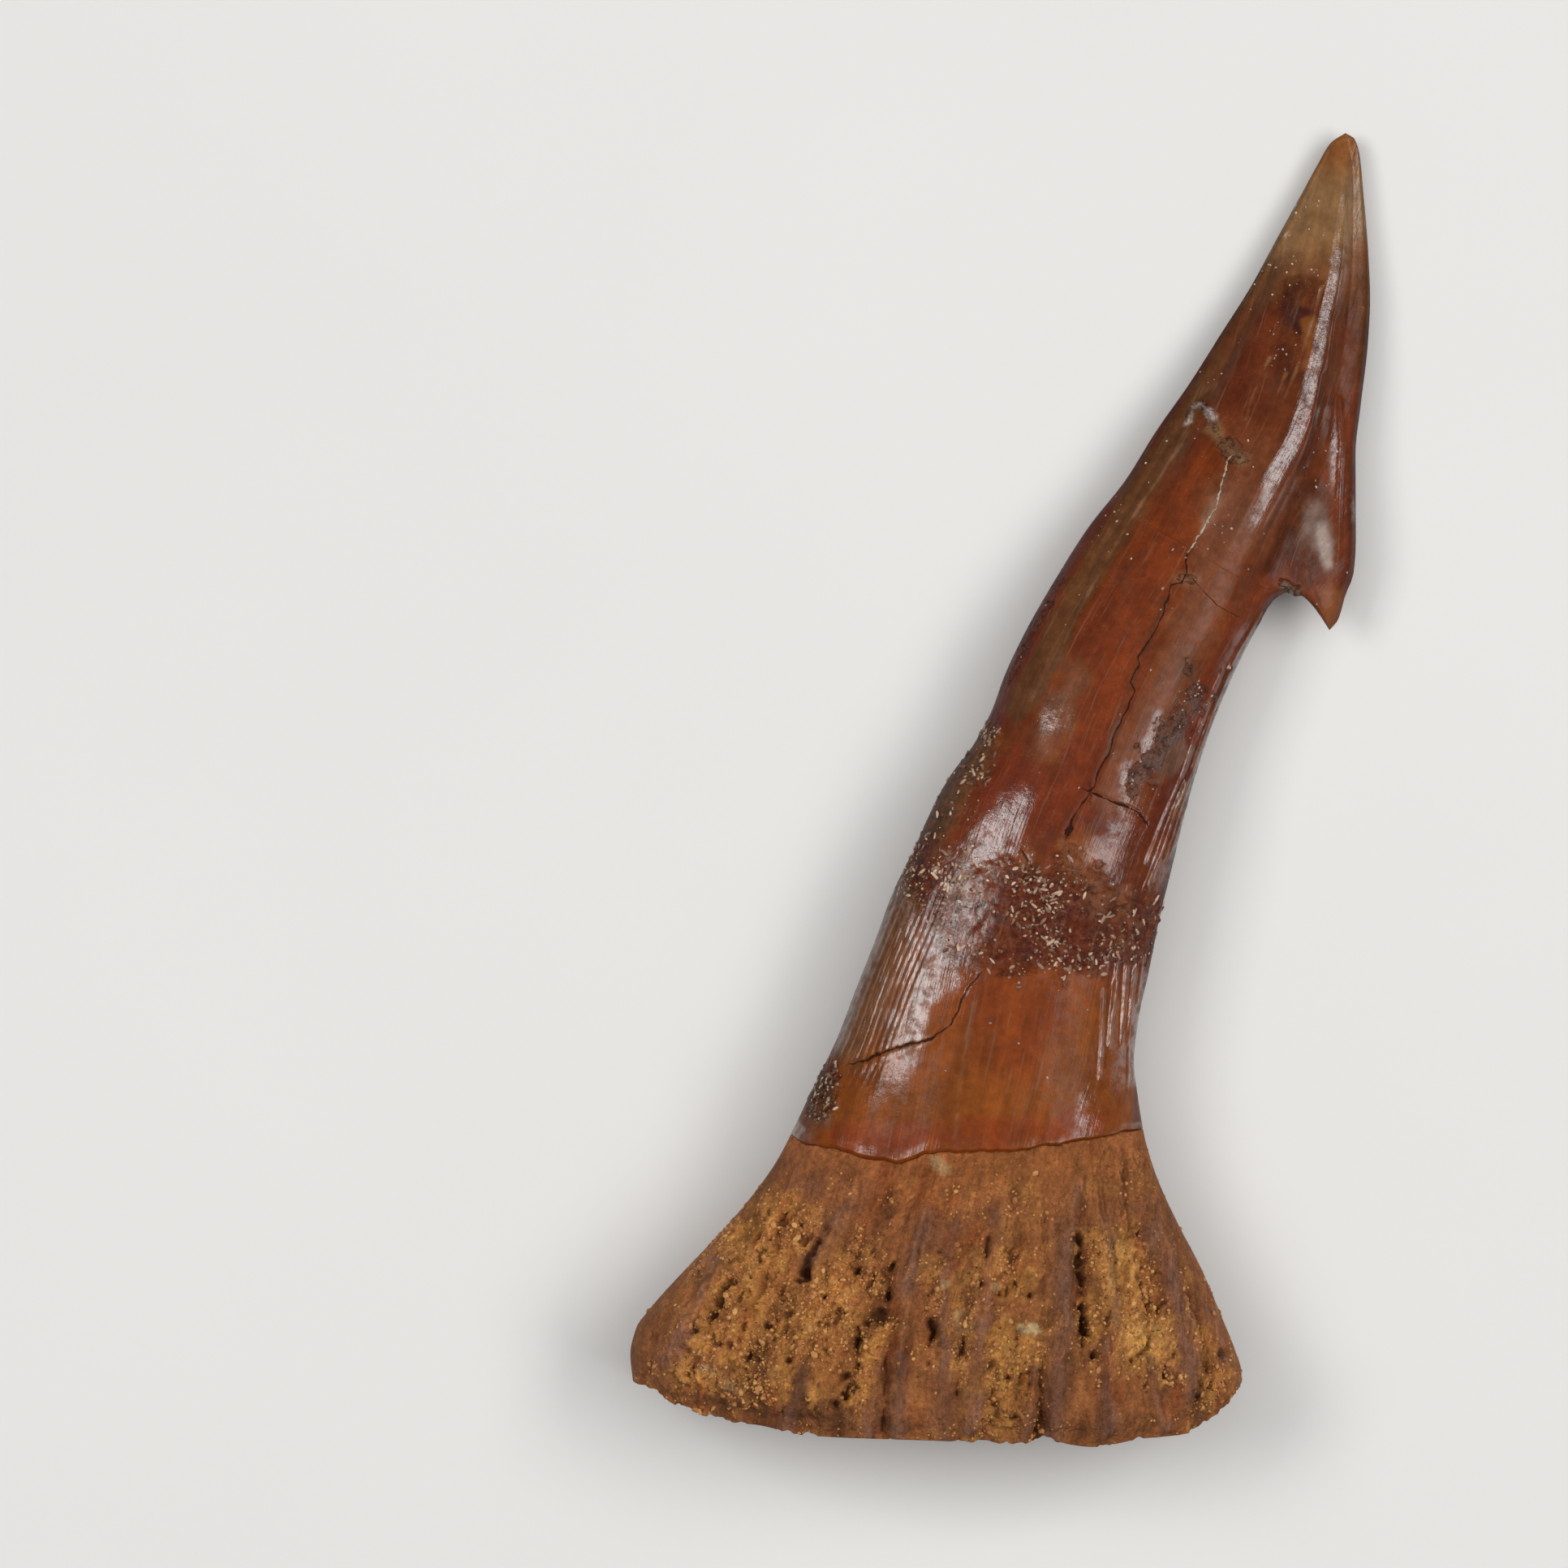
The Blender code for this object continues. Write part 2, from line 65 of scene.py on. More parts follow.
def steady_curve(knots: Line, at: Field) -> Field:
    """Read a smooth curve that never swings past its knots.

    Args:
        knots: The curve's knots, as pairs of place and value, with rising places.
        at: The places to read.

    Returns:
        The curve's values there.
    """
    xs = np.array([knot[0] for knot in knots], dtype=float)
    ys = np.array([knot[1] for knot in knots], dtype=float)
    step = np.diff(xs)
    rise = np.diff(ys) / step
    slope = np.zeros(len(xs))
    same_way = rise[:-1] * rise[1:] > 0
    near = 2 * step[1:] + step[:-1]
    far = step[1:] + 2 * step[:-1]
    safe = np.where(same_way, rise[:-1] * rise[1:], 1)
    mean = (near + far) * safe / (near * rise[1:] + far * rise[:-1] + (~same_way) * 1e9)
    slope[1:-1] = np.where(same_way, mean, 0)
    slope[0] = rise[0]
    slope[-1] = rise[-1]
    at = np.clip(at, xs[0], xs[-1])
    cell = np.clip(np.searchsorted(xs, at, side="right") - 1, 0, len(xs) - 2)
    width = step[cell]
    t = (at - xs[cell]) / width
    start = (1 + 2 * t) * (1 - t) ** 2 * ys[cell] + t * (1 - t) ** 2 * width * slope[cell]
    end = t * t * (3 - 2 * t) * ys[cell + 1] + t * t * (t - 1) * width * slope[cell + 1]
    return start + end


def along(points: Line, share: Field) -> tuple[Field, Field]:
    """Read the points at a share of a line's length.

    Args:
        points: The line's corners.
        share: How far along the line, from 0 to 1.

    Returns:
        The x and y values there.
    """
    corners = np.array(points)
    runs = np.hypot(*np.diff(corners, axis=0).T)
    shares = np.concatenate(([0], np.cumsum(runs))) / runs.sum()
    x = steady_curve(tuple(zip(shares, corners[:, 0])), share)
    y = steady_curve(tuple(zip(shares, corners[:, 1])), share)
    return x, y


def ease(start: float, end: float, value: Field) -> Field:
    """Go smoothly from 0 at start to 1 at end, where end may be the lower one.

    Args:
        start: The value at which the result is 0.
        end: The value at which the result is 1.
        value: The values to read.

    Returns:
        Shares from 0 to 1.
    """
    t = np.clip((value - start) / (end - start), 0, 1)
    return t * t * (3 - 2 * t)


def signed_distance(x: Field, y: Field, points: Line) -> Field:
    """Measure the distance in plan to a line, positive on its left.

    Args:
        x: The places' x.
        y: The places' y.
        points: The line's corners.

    Returns:
        The signed distances.
    """
    nearest = np.full(np.shape(x), 1e6)
    signed = np.full(np.shape(x), 1e6)
    for (ax, ay), (bx, by) in zip(points[:-1], points[1:]):
        dx, dy = bx - ax, by - ay
        t = np.clip(((x - ax) * dx + (y - ay) * dy) / (dx * dx + dy * dy), 0, 1)
        distance = np.hypot(x - ax - t * dx, y - ay - t * dy)
        side = np.where(dx * (y - ay) - dy * (x - ax) >= 0, 1.0, -1.0)
        closer = distance < nearest
        signed = np.where(closer, side * distance, signed)
        nearest = np.where(closer, distance, nearest)
    return signed


def line_distance(x: Field, y: Field, points: Line) -> Field:
    """Measure the distance in plan to a line of points, or to one point.

    Args:
        x: The places' x.
        y: The places' y.
        points: The line's corners, or one point.

    Returns:
        The distances.
    """
    if len(points) == 1:
        return np.hypot(x - points[0][0], y - points[0][1])
    return np.abs(signed_distance(x, y, points))


def blend(below: Field, target: Colour | Field | float, share: Field) -> Field:
    """Move colours, or plain values, towards a target.

    Args:
        below: The colours or values so far.
        target: What to move them towards.
        share: How far to move at each place, from 0 to 1.

    Returns:
        The new colours or values.
    """
    if below.ndim > share.ndim:
        share = share[..., None]
    return below + (np.array(target) - below) * share


@dataclass(frozen=True)
class Lumps:
    """A seeded, uneven field of soft lumps over a plane.

    Attributes:
        seed: The seed of the random lumps.
        size: The largest lumps' size.
        layers: How many finer layers of lumps are laid over each other.
    """

    seed: int
    size: float
    layers: int

    def at(self, u: Field, v: Field) -> Field:
        """Read the field.

        Args:
            u: The first coordinates.
            v: The second coordinates.

        Returns:
            Values from about -1 to 1.
        """
        table = np.random.default_rng(self.seed).uniform(-1, 1, (256, 256))
        total = np.zeros(np.broadcast(u, v).shape)
        weight = 0.0
        for layer in range(self.layers):
            turn = 0.6 + 1.7 * layer
            scale = self.size / 2.1 ** layer
            share = 0.55 ** layer
            a = (u * math.cos(turn) + v * math.sin(turn)) / scale + 31.7 * layer
            b = (v * math.cos(turn) - u * math.sin(turn)) / scale + 12.9 * layer
            i = np.floor(a).astype(int)
            j = np.floor(b).astype(int)
            p = ease(0, 1, a - i)
            r = ease(0, 1, b - j)
            low = table[i % 256, j % 256] * (1 - p) + table[(i + 1) % 256, j % 256] * p
            high = table[i % 256, (j + 1) % 256] * (1 - p) + table[(i + 1) % 256, (j + 1) % 256] * p
            total = total + share * (low * (1 - r) + high * r)
            weight += share
        return total / weight * 1.5


class Face(Enum):
    """The two faces of the tooth as it lies."""

    TOP = "top"
    UNDER = "under"


@dataclass(frozen=True)
class Outline:
    """The tooth's plan: its edges, and the rows that run across between them.

    A row is named by its station, which counts from 0 at the root's rim over 1 at the enamel's
    lower edge to 14 at the tip, and a point on it by its column, from 0 at the left edge to 1.
    """

    left_edge: Line = (
        (-16.22, -26.16), (-16.33, -25.02), (-16.08, -23.88), (-15.36, -22.88), (-13.97, -21.34),
        (-12.44, -19.74), (-11.05, -18.13), (-9.9, -16.52), (-9.15, -15.1), (-8.3, -13.31),
        (-7.26, -11.17), (-6.37, -8.85), (-5.59, -6.89), (-4.8, -4.75), (-3.77, -2.61),
        (-2.77, -0.46), (-2.12, 0.61), (-1.3, 1.68), (-0.45, 3.25), (0.16, 4.89), (1.2, 7.03),
        (2.44, 9.17), (3.8, 11.31), (5.48, 13.45), (6.83, 15.6), (8.33, 17.74), (9.69, 19.88),
        (11.05, 22.02), (12.22, 24.16), (13.4, 26.3), (14.11, 27.59), (14.65, 28.44), (15.26, 28.84),
    )
    right_edge: Line = (
        (10.37, -26.16), (10.51, -25.8), (10.26, -24.91), (9.65, -23.38), (8.76, -21.27),
        (7.69, -19.2), (6.76, -17.13), (6.26, -15.45), (5.94, -13.49), (5.8, -12.24),
        (6.01, -10.28), (6.44, -8.32), (6.91, -6.0), (7.55, -3.39), (8.23, -0.64), (9.12, 2.21),
        (10.22, 4.89), (11.33, 7.03), (12.04, 8.17), (12.79, 8.6),
    )
    barb_arch: Line = ((14.47, 6.82), (13.97, 7.57), (13.44, 8.21), (12.79, 8.6))
    barb_edge: Line = (
        (14.47, 6.82), (14.83, 7.24), (15.19, 8.39), (15.54, 9.31), (15.65, 10.78), (15.65, 14.53),
        (15.9, 16.85), (16.22, 19.52), (16.33, 21.48), (16.22, 24.16), (16.04, 26.3),
        (15.9, 27.73), (15.65, 28.59), (15.26, 28.84),
    )
    foot_line: Line = (
        (3.77, -15.52), (3.87, -13.31), (4.01, -11.53), (4.19, -9.74), (4.55, -7.6), (5.19, -5.1),
        (5.84, -2.61), (6.62, -0.29), (7.76, 2.75), (9.12, 5.42), (10.44, 7.74), (11.08, 9.53),
        (11.8, 11.24), (12.69, 12.92), (13.83, 15.24), (14.29, 17.02), (14.65, 18.99),
        (14.94, 20.77), (15.19, 22.73), (15.33, 24.88), (15.42, 26.84), (15.36, 28.09), (15.26, 28.84),
    )
    root_rim: Line = (
        (-16.22, -26.16), (-15.1, -26.66), (-14.04, -27.23), (-11.94, -27.8), (-10.75, -27.9),
        (-8.94, -28.3), (-3.02, -28.55), (0.9, -28.7), (1.6, -28.45), (2.34, -28.62),
        (3.94, -28.84), (5.91, -28.52), (8.19, -28.3), (9.48, -27.66), (10.08, -26.8), (10.37, -26.16),
    )
    enamel_line: Line = (
        (-9.26, -15.3), (-8.73, -15.74), (-7.66, -15.76), (-6.23, -16.17), (-4.8, -16.45),
        (-3.73, -16.24), (-1.95, -15.99), (0.2, -15.92), (2.34, -15.7), (4.12, -15.38), (6.19, -15.1),
    )
    left_heights: tuple[float, ...] = (
        -26.16, -15.3, -8.85, -2.61, 1.68, 5.6, 9.17, 12.4, 15.0, 16.6, 18.3, 20.2, 23.0, 26.0, 28.84)
    foot_heights: tuple[float, ...] = (
        -27.7, -15.4, -11.5, -5.8, -1.8, 1.6, 5.8, 8.8, 12.4, 14.3, 16.6, 19.2, 22.4, 25.7, 28.84)
    right_heights: tuple[float, ...] = (
        -26.16, -15.1, -11.9, -6.5, -2.61, 1.0, 5.0, 8.6, 6.82, 11.0, 14.9, 18.4, 22.0, 25.5, 28.84)
    notch: int = 7
    barb_tip: int = 8
    foot_column: float = 0.72
    rim_foot_share: float = 0.74
    neck_foot_share: float = 0.845
    rim_chip: float = 0.3

    @property
    def last(self) -> int:
        """Count the last station, at the tip."""
        return len(self.left_heights) - 1

    def edge(self, line: Line, heights: tuple[float, ...], s: Field) -> np.ndarray:
        """Find one edge's points.

        Args:
            line: The edge's points.
            heights: The edge's y at each station.
            s: The stations to read.

        Returns:
            The x and y of the edge at each station.
        """
        y = steady_curve(tuple(enumerate(heights)), s)
        x = steady_curve(tuple((point[1], point[0]) for point in line), y)
        return np.array((x, y))

    def edges(self, s: Field) -> tuple[np.ndarray, np.ndarray, np.ndarray]:
        """Find the left, foot and right points of each row.

        Args:
            s: The rows' stations.

        Returns:
            Three pairs of x and y.
        """
        left = self.edge(self.left_edge, self.left_heights, s)
        foot = self.edge(self.foot_line, self.foot_heights, s)
        flank = self.edge(self.right_edge, self.right_heights, s)
        arch = self.edge(self.barb_arch, self.right_heights, s)
        barb = self.edge(self.barb_edge, self.right_heights, s)
        right = np.where(s <= self.notch, flank, np.where(s <= self.barb_tip, arch, barb))
        return left, foot, right

    def share(self, s: Field, q: Field) -> Field:
        """Turn a column into a share of the row's length.

        Args:
            s: The rows' stations.
            q: The columns.

        Returns:
            Shares from 0 to 1.
        """
        left = np.clip(q / self.foot_column, 0, 1)
        right = np.clip((q - self.foot_column) / (1 - self.foot_column), 0, 1)
        foot = self.rim_foot_share + (self.neck_foot_share - self.rim_foot_share) * np.clip(s, 0, 1)
        return foot * left + (1 - foot) * right

    def neck(self, share: Field, face: Face) -> np.ndarray:
        """Find points on the enamel's uneven lower edge.

        Args:
            share: How far along the edge.
            face: The face of the tooth.

        Returns:
            Their x and y.
        """
        x, y = along(self.enamel_line, share)
        inside = ease(0, 0.06, share) * ease(1, 0.94, share)
        if face is Face.UNDER:
            straight = self.enamel_line[0][1] * (1 - share) + self.enamel_line[-1][1] * share
            y = straight - 0.85 * inside * np.sin(share * math.pi) ** 0.7
        seed = 11 if face is Face.TOP else 12
        y = y + 0.12 * inside * Lumps(seed, 0.9, 3).at(x, np.zeros_like(x))
        return np.array((x, y))

    def root_plan(self, s: Field, q: Field, face: Face) -> np.ndarray:
        """Place the root's points in plan.

        Args:
            s: The rows' stations, as a column of numbers from 0 to just over 1.
            q: The columns, as a row of numbers.
            face: The face of the tooth.

        Returns:
            Their x and y.
        """
        share = self.share(s, q)
        rim = np.array(along(self.root_rim, share))
        chips = np.maximum(Lumps(14, 1.1, 4).at(rim[0] * 1.4, rim[1] * 0) - 0.05, 0)
        rim[1] += self.rim_chip * chips * ease(0, 0.04, share) * ease(1, 0.96, share)
        neck = self.neck(share, face)
        left, _, right = self.edges(s)
        first = (1 - s) * np.array(self.root_rim[0])[:, None, None] + s * self.neck(np.zeros((1, 1)), face)
        last = (1 - s) * np.array(self.root_rim[-1])[:, None, None] + s * self.neck(np.ones((1, 1)), face)
        plan = (1 - s) * rim + s * neck
        return plan + (left - first) * (1 - share) + (right - last) * share

    def crown_plan(self, s: Field, q: Field, face: Face) -> np.ndarray:
        """Place the crown's points in plan.

        Args:
            s: The rows' stations, as a column of numbers from 1 up.
            q: The columns, as a row of numbers.
            face: The face of the tooth.

        Returns:
            Their x and y.
        """
        left, foot, right = self.edges(s)
        to_foot = np.clip(q / self.foot_column, 0, 1)
        to_right = np.clip((q - self.foot_column) / (1 - self.foot_column), 0, 1)
        plan = left + (foot - left) * to_foot + (right - foot) * to_right
        first, middle, last = self.edges(np.ones((1, 1)))
        straight = first + (middle - first) * to_foot + (last - middle) * to_right
        bow = self.neck(self.share(np.ones((1, 1)), q), face) - straight
        return plan + (1 - ease(1, 2.2, s)) * bow


@dataclass(frozen=True)
class Sections:
    """The tooth's thickness and the shapes of its cross sections."""

    half_thickness: tuple[float, ...] = (
        5.1, 3.95, 3.5, 3.3, 3.22, 3.1, 2.9, 2.72, 2.6, 2.36, 2.1, 1.8, 1.36, 0.86, 0.0)
    middle_height: tuple[float, ...] = (
        4.62, 4.45, 4.15, 3.86, 3.64, 3.4, 3.12, 2.86, 2.62, 2.36, 2.05, 1.73, 1.34, 1.08, 1.0)
    blade_top: Line = (
        (0.0, 0.0), (0.04, 0.15), (0.13, 0.3), (0.2, 0.52), (0.38, 0.84), (0.5, 0.965),
        (0.565, 1.0), (0.605, 0.97), (0.672, 0.885), (0.72, 0.62), (0.8, 0.36), (0.9, 0.3),
        (0.97, 0.2), (1.0, 0.0),
    )
    blade_under: Line = (
        (0.0, 0.0), (0.04, 0.15), (0.13, 0.34), (0.3, 0.74), (0.5, 1.0), (0.64, 0.92),
        (0.72, 0.64), (0.8, 0.38), (0.9, 0.3), (0.97, 0.2), (1.0, 0.0),
    )
    root_roundness: Point = (3.0, 0.48)
    shaft_roundness: Point = (2.3, 0.56)
    root_to_shaft: Point = (0.3, 1.6)
    body_to_blade: Point = (3.5, 8.5)
    flank_to_barb: Point = (6.2, 7.6)
    rim_rounding: float = 0.7
    rim_rounding_end: float = 0.09
    thinnest: float = 0.12

    def height(self, outline: Outline, s: Field, q: Field, face: Face) -> Field:
        """Give the distance of a face from the middle plane.

        Args:
            outline: The plan.
            s: The rows' stations.
            q: The columns.
            face: The face of the tooth.

        Returns:
            The distances, in millimetres.
        """
        across = np.abs(2 * outline.share(np.minimum(s, 1), q) - 1)
        root = (1 - across ** self.root_roundness[0]) ** self.root_roundness[1]
        shaft = (1 - across ** self.shaft_roundness[0]) ** self.shaft_roundness[1]
        blade = steady_curve(self.blade_top if face is Face.TOP else self.blade_under, q)
        body = root + (shaft - root) * ease(*self.root_to_shaft, s)
        left_blend = ease(*self.body_to_blade, s)
        right_blend = ease(*self.flank_to_barb, s)
        right_side = ease(outline.foot_column - 0.1, outline.foot_column + 0.02, q)
        blend = left_blend + (right_blend - left_blend) * right_side
        half = steady_curve(tuple(enumerate(self.half_thickness)), s)
        depth = half * (body + (blade - body) * blend)
        turned_in = (1 - ease(0, self.rim_rounding_end, s)) * ease(0, 0.1, q) * ease(1, 0.95, q)
        depth = depth - self.rim_rounding * turned_in * (1.0 if face is Face.TOP else 0.4)
        least = self.thinnest * np.minimum(half, 1) * ease(0, 0.03, q) * ease(1, 0.985, q)
        return np.maximum(depth, least)

    def middle(self, s: Field) -> Field:
        """Give the middle plane's height at each station."""
        return steady_curve(tuple(enumerate(self.middle_height)), s)


@dataclass(frozen=True)
class Mark:
    """Relief along a line in plan, or at a point.

    Attributes:
        path: The line's points.
        width: The half width at which the relief has faded.
        height: How far it stands out, or sinks in where negative.
        ragged: How much its edge wanders.
    """

    path: Line
    width: float
    height: float = 0.0
    ragged: float = 0.0

    def strength(self, x: Field, y: Field, wander: Field | float = 0.0) -> Field:
        """Give the mark's strength, from 0 to 1.

        Args:
            x: The places' x.
            y: The places' y.
            wander: An uneven field that makes the edge ragged.

        Returns:
            The strengths.
        """
        distance = line_distance(x, y, self.path) + self.ragged * wander
        return np.exp(-(np.maximum(distance, 0) / self.width) ** 2)


@dataclass
class Patch:
    """One face's points between two stations, with their coordinates over the surface.

    Attributes:
        face: The face of the tooth.
        s: The rows' stations, as a column.
        q: The columns, as a row.
        x: The points' x.
        y: The points' y.
        z: The points' z.
        girth: The distance over the surface from the row's middle.
        length: The distance up the tooth.
        shown: How much of the marks of the upper face a point bears: all there, and underneath
            only beside the edges, where they run out.
    """

    face: Face
    s: Field
    q: Field
    x: Field
    y: Field
    z: Field
    girth: Field
    length: Field
    shown: Field

    @property
    def is_top(self) -> bool:
        """Tell whether this is the upper face."""
        return self.face is Face.TOP

    @property
    def fan(self) -> Field:
        """Give a coordinate that fans out across the root."""
        return (self.q - 0.5) * FAN_WIDTH + np.zeros_like(self.x)

    def lumps(self, seed: int, size: float, layers: int, up: float = 1.0) -> Field:
        """Read lumps that lie over the surface, drawn out up the tooth where up is below 1."""
        return Lumps(seed, size, layers).at(self.girth, self.length * up)

    def plan_lumps(self, seed: int, size: float, layers: int) -> Field:
        """Read lumps that lie over the plan."""
        return Lumps(seed, size, layers).at(self.x, self.y)


@dataclass(frozen=True)
class RootRelief:
    """The root's relief: flutes, slits, pits and pores. All heights are in millimetres."""

    enamel_step: float = 0.13
    tuck_step: float = 0.25
    fibre_height: float = 0.15
    thread_height: float = 0.06
    rough_height: float = 0.17
    crumb_height: float = 0.15
    flake_height: float = 0.18
    bare_crumb_height: float = 0.045
    sand_height: float = 0.02
    pore_depth: float = 0.2
    pit_depth: float = 0.6
    bend: Point = (0.16, 0.22)
    under_shift: Point = (-4.2, 0.9)
    sand_heights: tuple[float, float, float, float] = (0.2, 0.6, 9.4, 9.8)
    flutes: tuple[Mark, ...] = (
        Mark(((3.1, -17.0), (2.7, -21.2), (2.6, -24.0), (2.3, -26.9), (2.2, -28.6)), 0.46, 0.46),
        Mark(((-3.4, -18.6), (-4.1, -21.2), (-4.4, -23.8), (-4.6, -28.3)), 0.4, 0.4),
        Mark(((-5.5, -25.2), (-5.9, -28.3)), 0.26, 0.26),
        Mark(((-6.4, -17.8), (-8.6, -21.0)), 0.6, 0.22),
        Mark(((6.2, -18.6), (7.4, -22.0), (8.3, -26.6)), 0.5, 0.32),
        Mark(((4.6, -19.0), (5.0, -23.4)), 0.3, 0.16),
        Mark(((4.4, -24.4), (4.5, -28.2)), 0.42, 0.3),
        Mark(((-0.4, -18.5), (-0.9, -22.5), (-1.3, -28.0)), 0.46, 0.26),
        Mark(((-2.2, -19.0), (-2.6, -23.0), (-2.7, -28.2)), 0.36, 0.24),
        Mark(((-12.4, -21.0), (-14.6, -25.2)), 0.6, 0.26),
        Mark(((1.3, -25.4), (1.0, -28.5)), 0.26, 0.26),
        Mark(((9.0, -23.2), (9.8, -25.4)), 0.3, 0.18),
        Mark(((6.4, -25.0), (6.9, -28.0)), 0.3, 0.26),
        Mark(((-8.6, -25.4), (-9.6, -28.0)), 0.36, 0.18),
        Mark(((-8.8, -17.2), (-5.6, -17.8)), 0.9, 0.05),
    )
    slits: tuple[Mark, ...] = (
        Mark(((-12.0, -21.7), (-12.5, -22.6), (-13.1, -23.4)), 0.17, -0.8, 0.26),
        Mark(((-7.9, -19.4), (-8.3, -20.2), (-8.7, -21.1)), 0.2, -0.62, 0.16),
        Mark(((-4.85, -20.9), (-5.0, -22.3)), 0.13, -0.7, 0.12),
        Mark(((-3.05, -23.3), (-3.25, -24.0), (-3.45, -25.2)), 0.14, -0.8, 0.12),
        Mark(((-2.75, -21.6), (-2.95, -22.9)), 0.11, -0.45, 0.1),
        Mark(((-0.6, -19.3), (-0.75, -20.6)), 0.11, -0.4, 0.1),
        Mark(((3.3, -19.8), (3.4, -21.9)), 0.14, -0.65, 0.14),
        Mark(((3.45, -22.7), (3.5, -23.7), (3.65, -25.0)), 0.18, -0.95, 0.14),
        Mark(((-1.8, -24.1), (-2.0, -26.4)), 0.11, -0.5, 0.12),
        Mark(((-6.6, -25.0), (-6.8, -26.4)), 0.13, -0.6, 0.22),
        Mark(((-6.3, -23.6), (-6.5, -24.5)), 0.13, -0.45, 0.14),
        Mark(((0.7, -23.4), (0.4, -27.6)), 0.1, -0.3, 0.12),
        Mark(((6.0, -21.4), (6.5, -26.4)), 0.1, -0.26, 0.12),
        Mark(((5.6, -19.2), (6.2, -21.2)), 0.1, -0.18, 0.1),
        Mark(((1.8, -18.6), (1.7, -24.0)), 0.11, -0.26, 0.1),
        Mark(((-3.5, -19.0), (-3.7, -20.8)), 0.12, -0.22, 0.1),
        Mark(((7.9, -21.4), (9.1, -25.6)), 0.11, -0.28, 0.12),
        Mark(((-0.5, -25.0), (-0.9, -28.2)), 0.11, -0.36, 0.12),
        Mark(((1.65, -25.0), (1.5, -28.4)), 0.12, -0.36, 0.12),
        Mark(((-5.1, -24.4), (-5.2, -28.2)), 0.11, -0.36, 0.12),
        Mark(((4.05, -25.2), (3.6, -28.2)), 0.11, -0.3, 0.12),
        Mark(((-9.4, -26.4), (-10.0, -28.2)), 0.16, -0.24, 0.14),
        Mark(((-7.3, -20.2), (-5.9, -21.0)), 0.05, -0.1, 0.06),
        Mark(((-4.4, -21.75), (-2.8, -21.65)), 0.06, -0.22, 0.06),
    )
    pits: tuple[tuple[float, float, float], ...] = (
        (-11.7, -21.7, 0.24), (-12.4, -22.5, 0.27), (-13.5, -23.9, 0.14), (-12.5, -24.4, 0.13),
        (-11.1, -24.9, 0.24), (-10.2, -19.8, 0.15), (-9.0, -21.6, 0.16), (-8.7, -21.3, 0.22),
        (-5.5, -22.9, 0.4), (-5.9, -23.3, 0.24), (-6.4, -24.2, 0.2), (-7.4, -26.9, 0.22),
        (-1.1, -21.7, 0.13), (0.4, -21.7, 0.14), (1.1, -22.1, 0.15), (5.7, -25.1, 0.16),
        (-0.5, -26.8, 0.14), (-0.6, -27.8, 0.13), (0.5, -27.7, 0.13), (9.7, -24.7, 0.16),
        (-10.4, -23.4, 0.16), (-9.4, -24.9, 0.15), (-13.6, -25.2, 0.11), (-7.9, -22.4, 0.15),
        (-8.9, -19.2, 0.11), (-11.9, -26.1, 0.1), (-6.4, -21.0, 0.16), (-10.7, -20.6, 0.12),
        (-9.8, -22.2, 0.13), (-7.2, -22.8, 0.12), (-6.9, -25.6, 0.17), (8.6, -26.6, 0.15),
        (9.2, -26.2, 0.13), (3.4, -22.2, 0.15), (-0.2, -22.2, 0.1), (0.1, -25.6, 0.12),
    )
    sandy: tuple[tuple[Line, float], ...] = (
        (((-9.8, -19.6), (-11.6, -22.0), (-8.2, -22.6), (-9.8, -25.2), (-12.8, -24.8)), 2.1),
        (((-6.0, -20.4), (-5.4, -23.6), (-6.6, -26.6)), 0.9),
        (((-1.4, -21.0), (0.6, -21.8)), 1.1),
        (((-0.6, -23.6), (0.4, -24.6), (0.0, -27.4)), 1.2),
        (((4.9, -20.2), (6.0, -22.8), (7.0, -25.0)), 1.4),
        (((8.6, -24.6), (8.9, -27.0)), 0.9),
        (((3.4, -19.8), (3.6, -26.2)), 0.5),
        (((-2.8, -20.4), (-2.2, -24.6)), 0.6),
    )

    def bent(self, patch: Patch, seed: int) -> tuple[Field, Field]:
        """Bend the plan a little, and turn it over for the underside.

        Args:
            patch: The root's points on one face.
            seed: The seed of the bends.

        Returns:
            The x and y at which marks are laid.
        """
        drift = Lumps(seed, 0.9, 2)
        x, y = patch.x, patch.y
        if not patch.is_top:
            x, y = self.under_shift[0] - x, self.under_shift[1] + y
        x = x + self.bend[0] * drift.at(patch.x, patch.y)
        y = y + self.bend[1] * drift.at(patch.y + 50, patch.x)
        return x, y

    def sandiness(self, patch: Patch, x: Field, y: Field, seed: int) -> Field:
        """Tell how sandy the open bone is.

        Args:
            patch: The root's points on one face.
            x: The x at which marks are laid.
            y: The y at which marks are laid.
            seed: The seed of the uneven edges.

        Returns:
            Shares from 0 to 1.
        """
        sandy = np.zeros_like(patch.x)
        ragged = 0.9 * patch.plan_lumps(seed, 1.0, 4)
        for path, reach in self.sandy:
            distance = line_distance(x, y, path) + ragged
            sandy = np.maximum(sandy, ease(reach + 0.5, reach - 0.7, distance))
        thin = 0.38 * ease(-0.2, 0.6, patch.lumps(seed + 1, 1.2, 4))
        return np.maximum(sandy, thin)

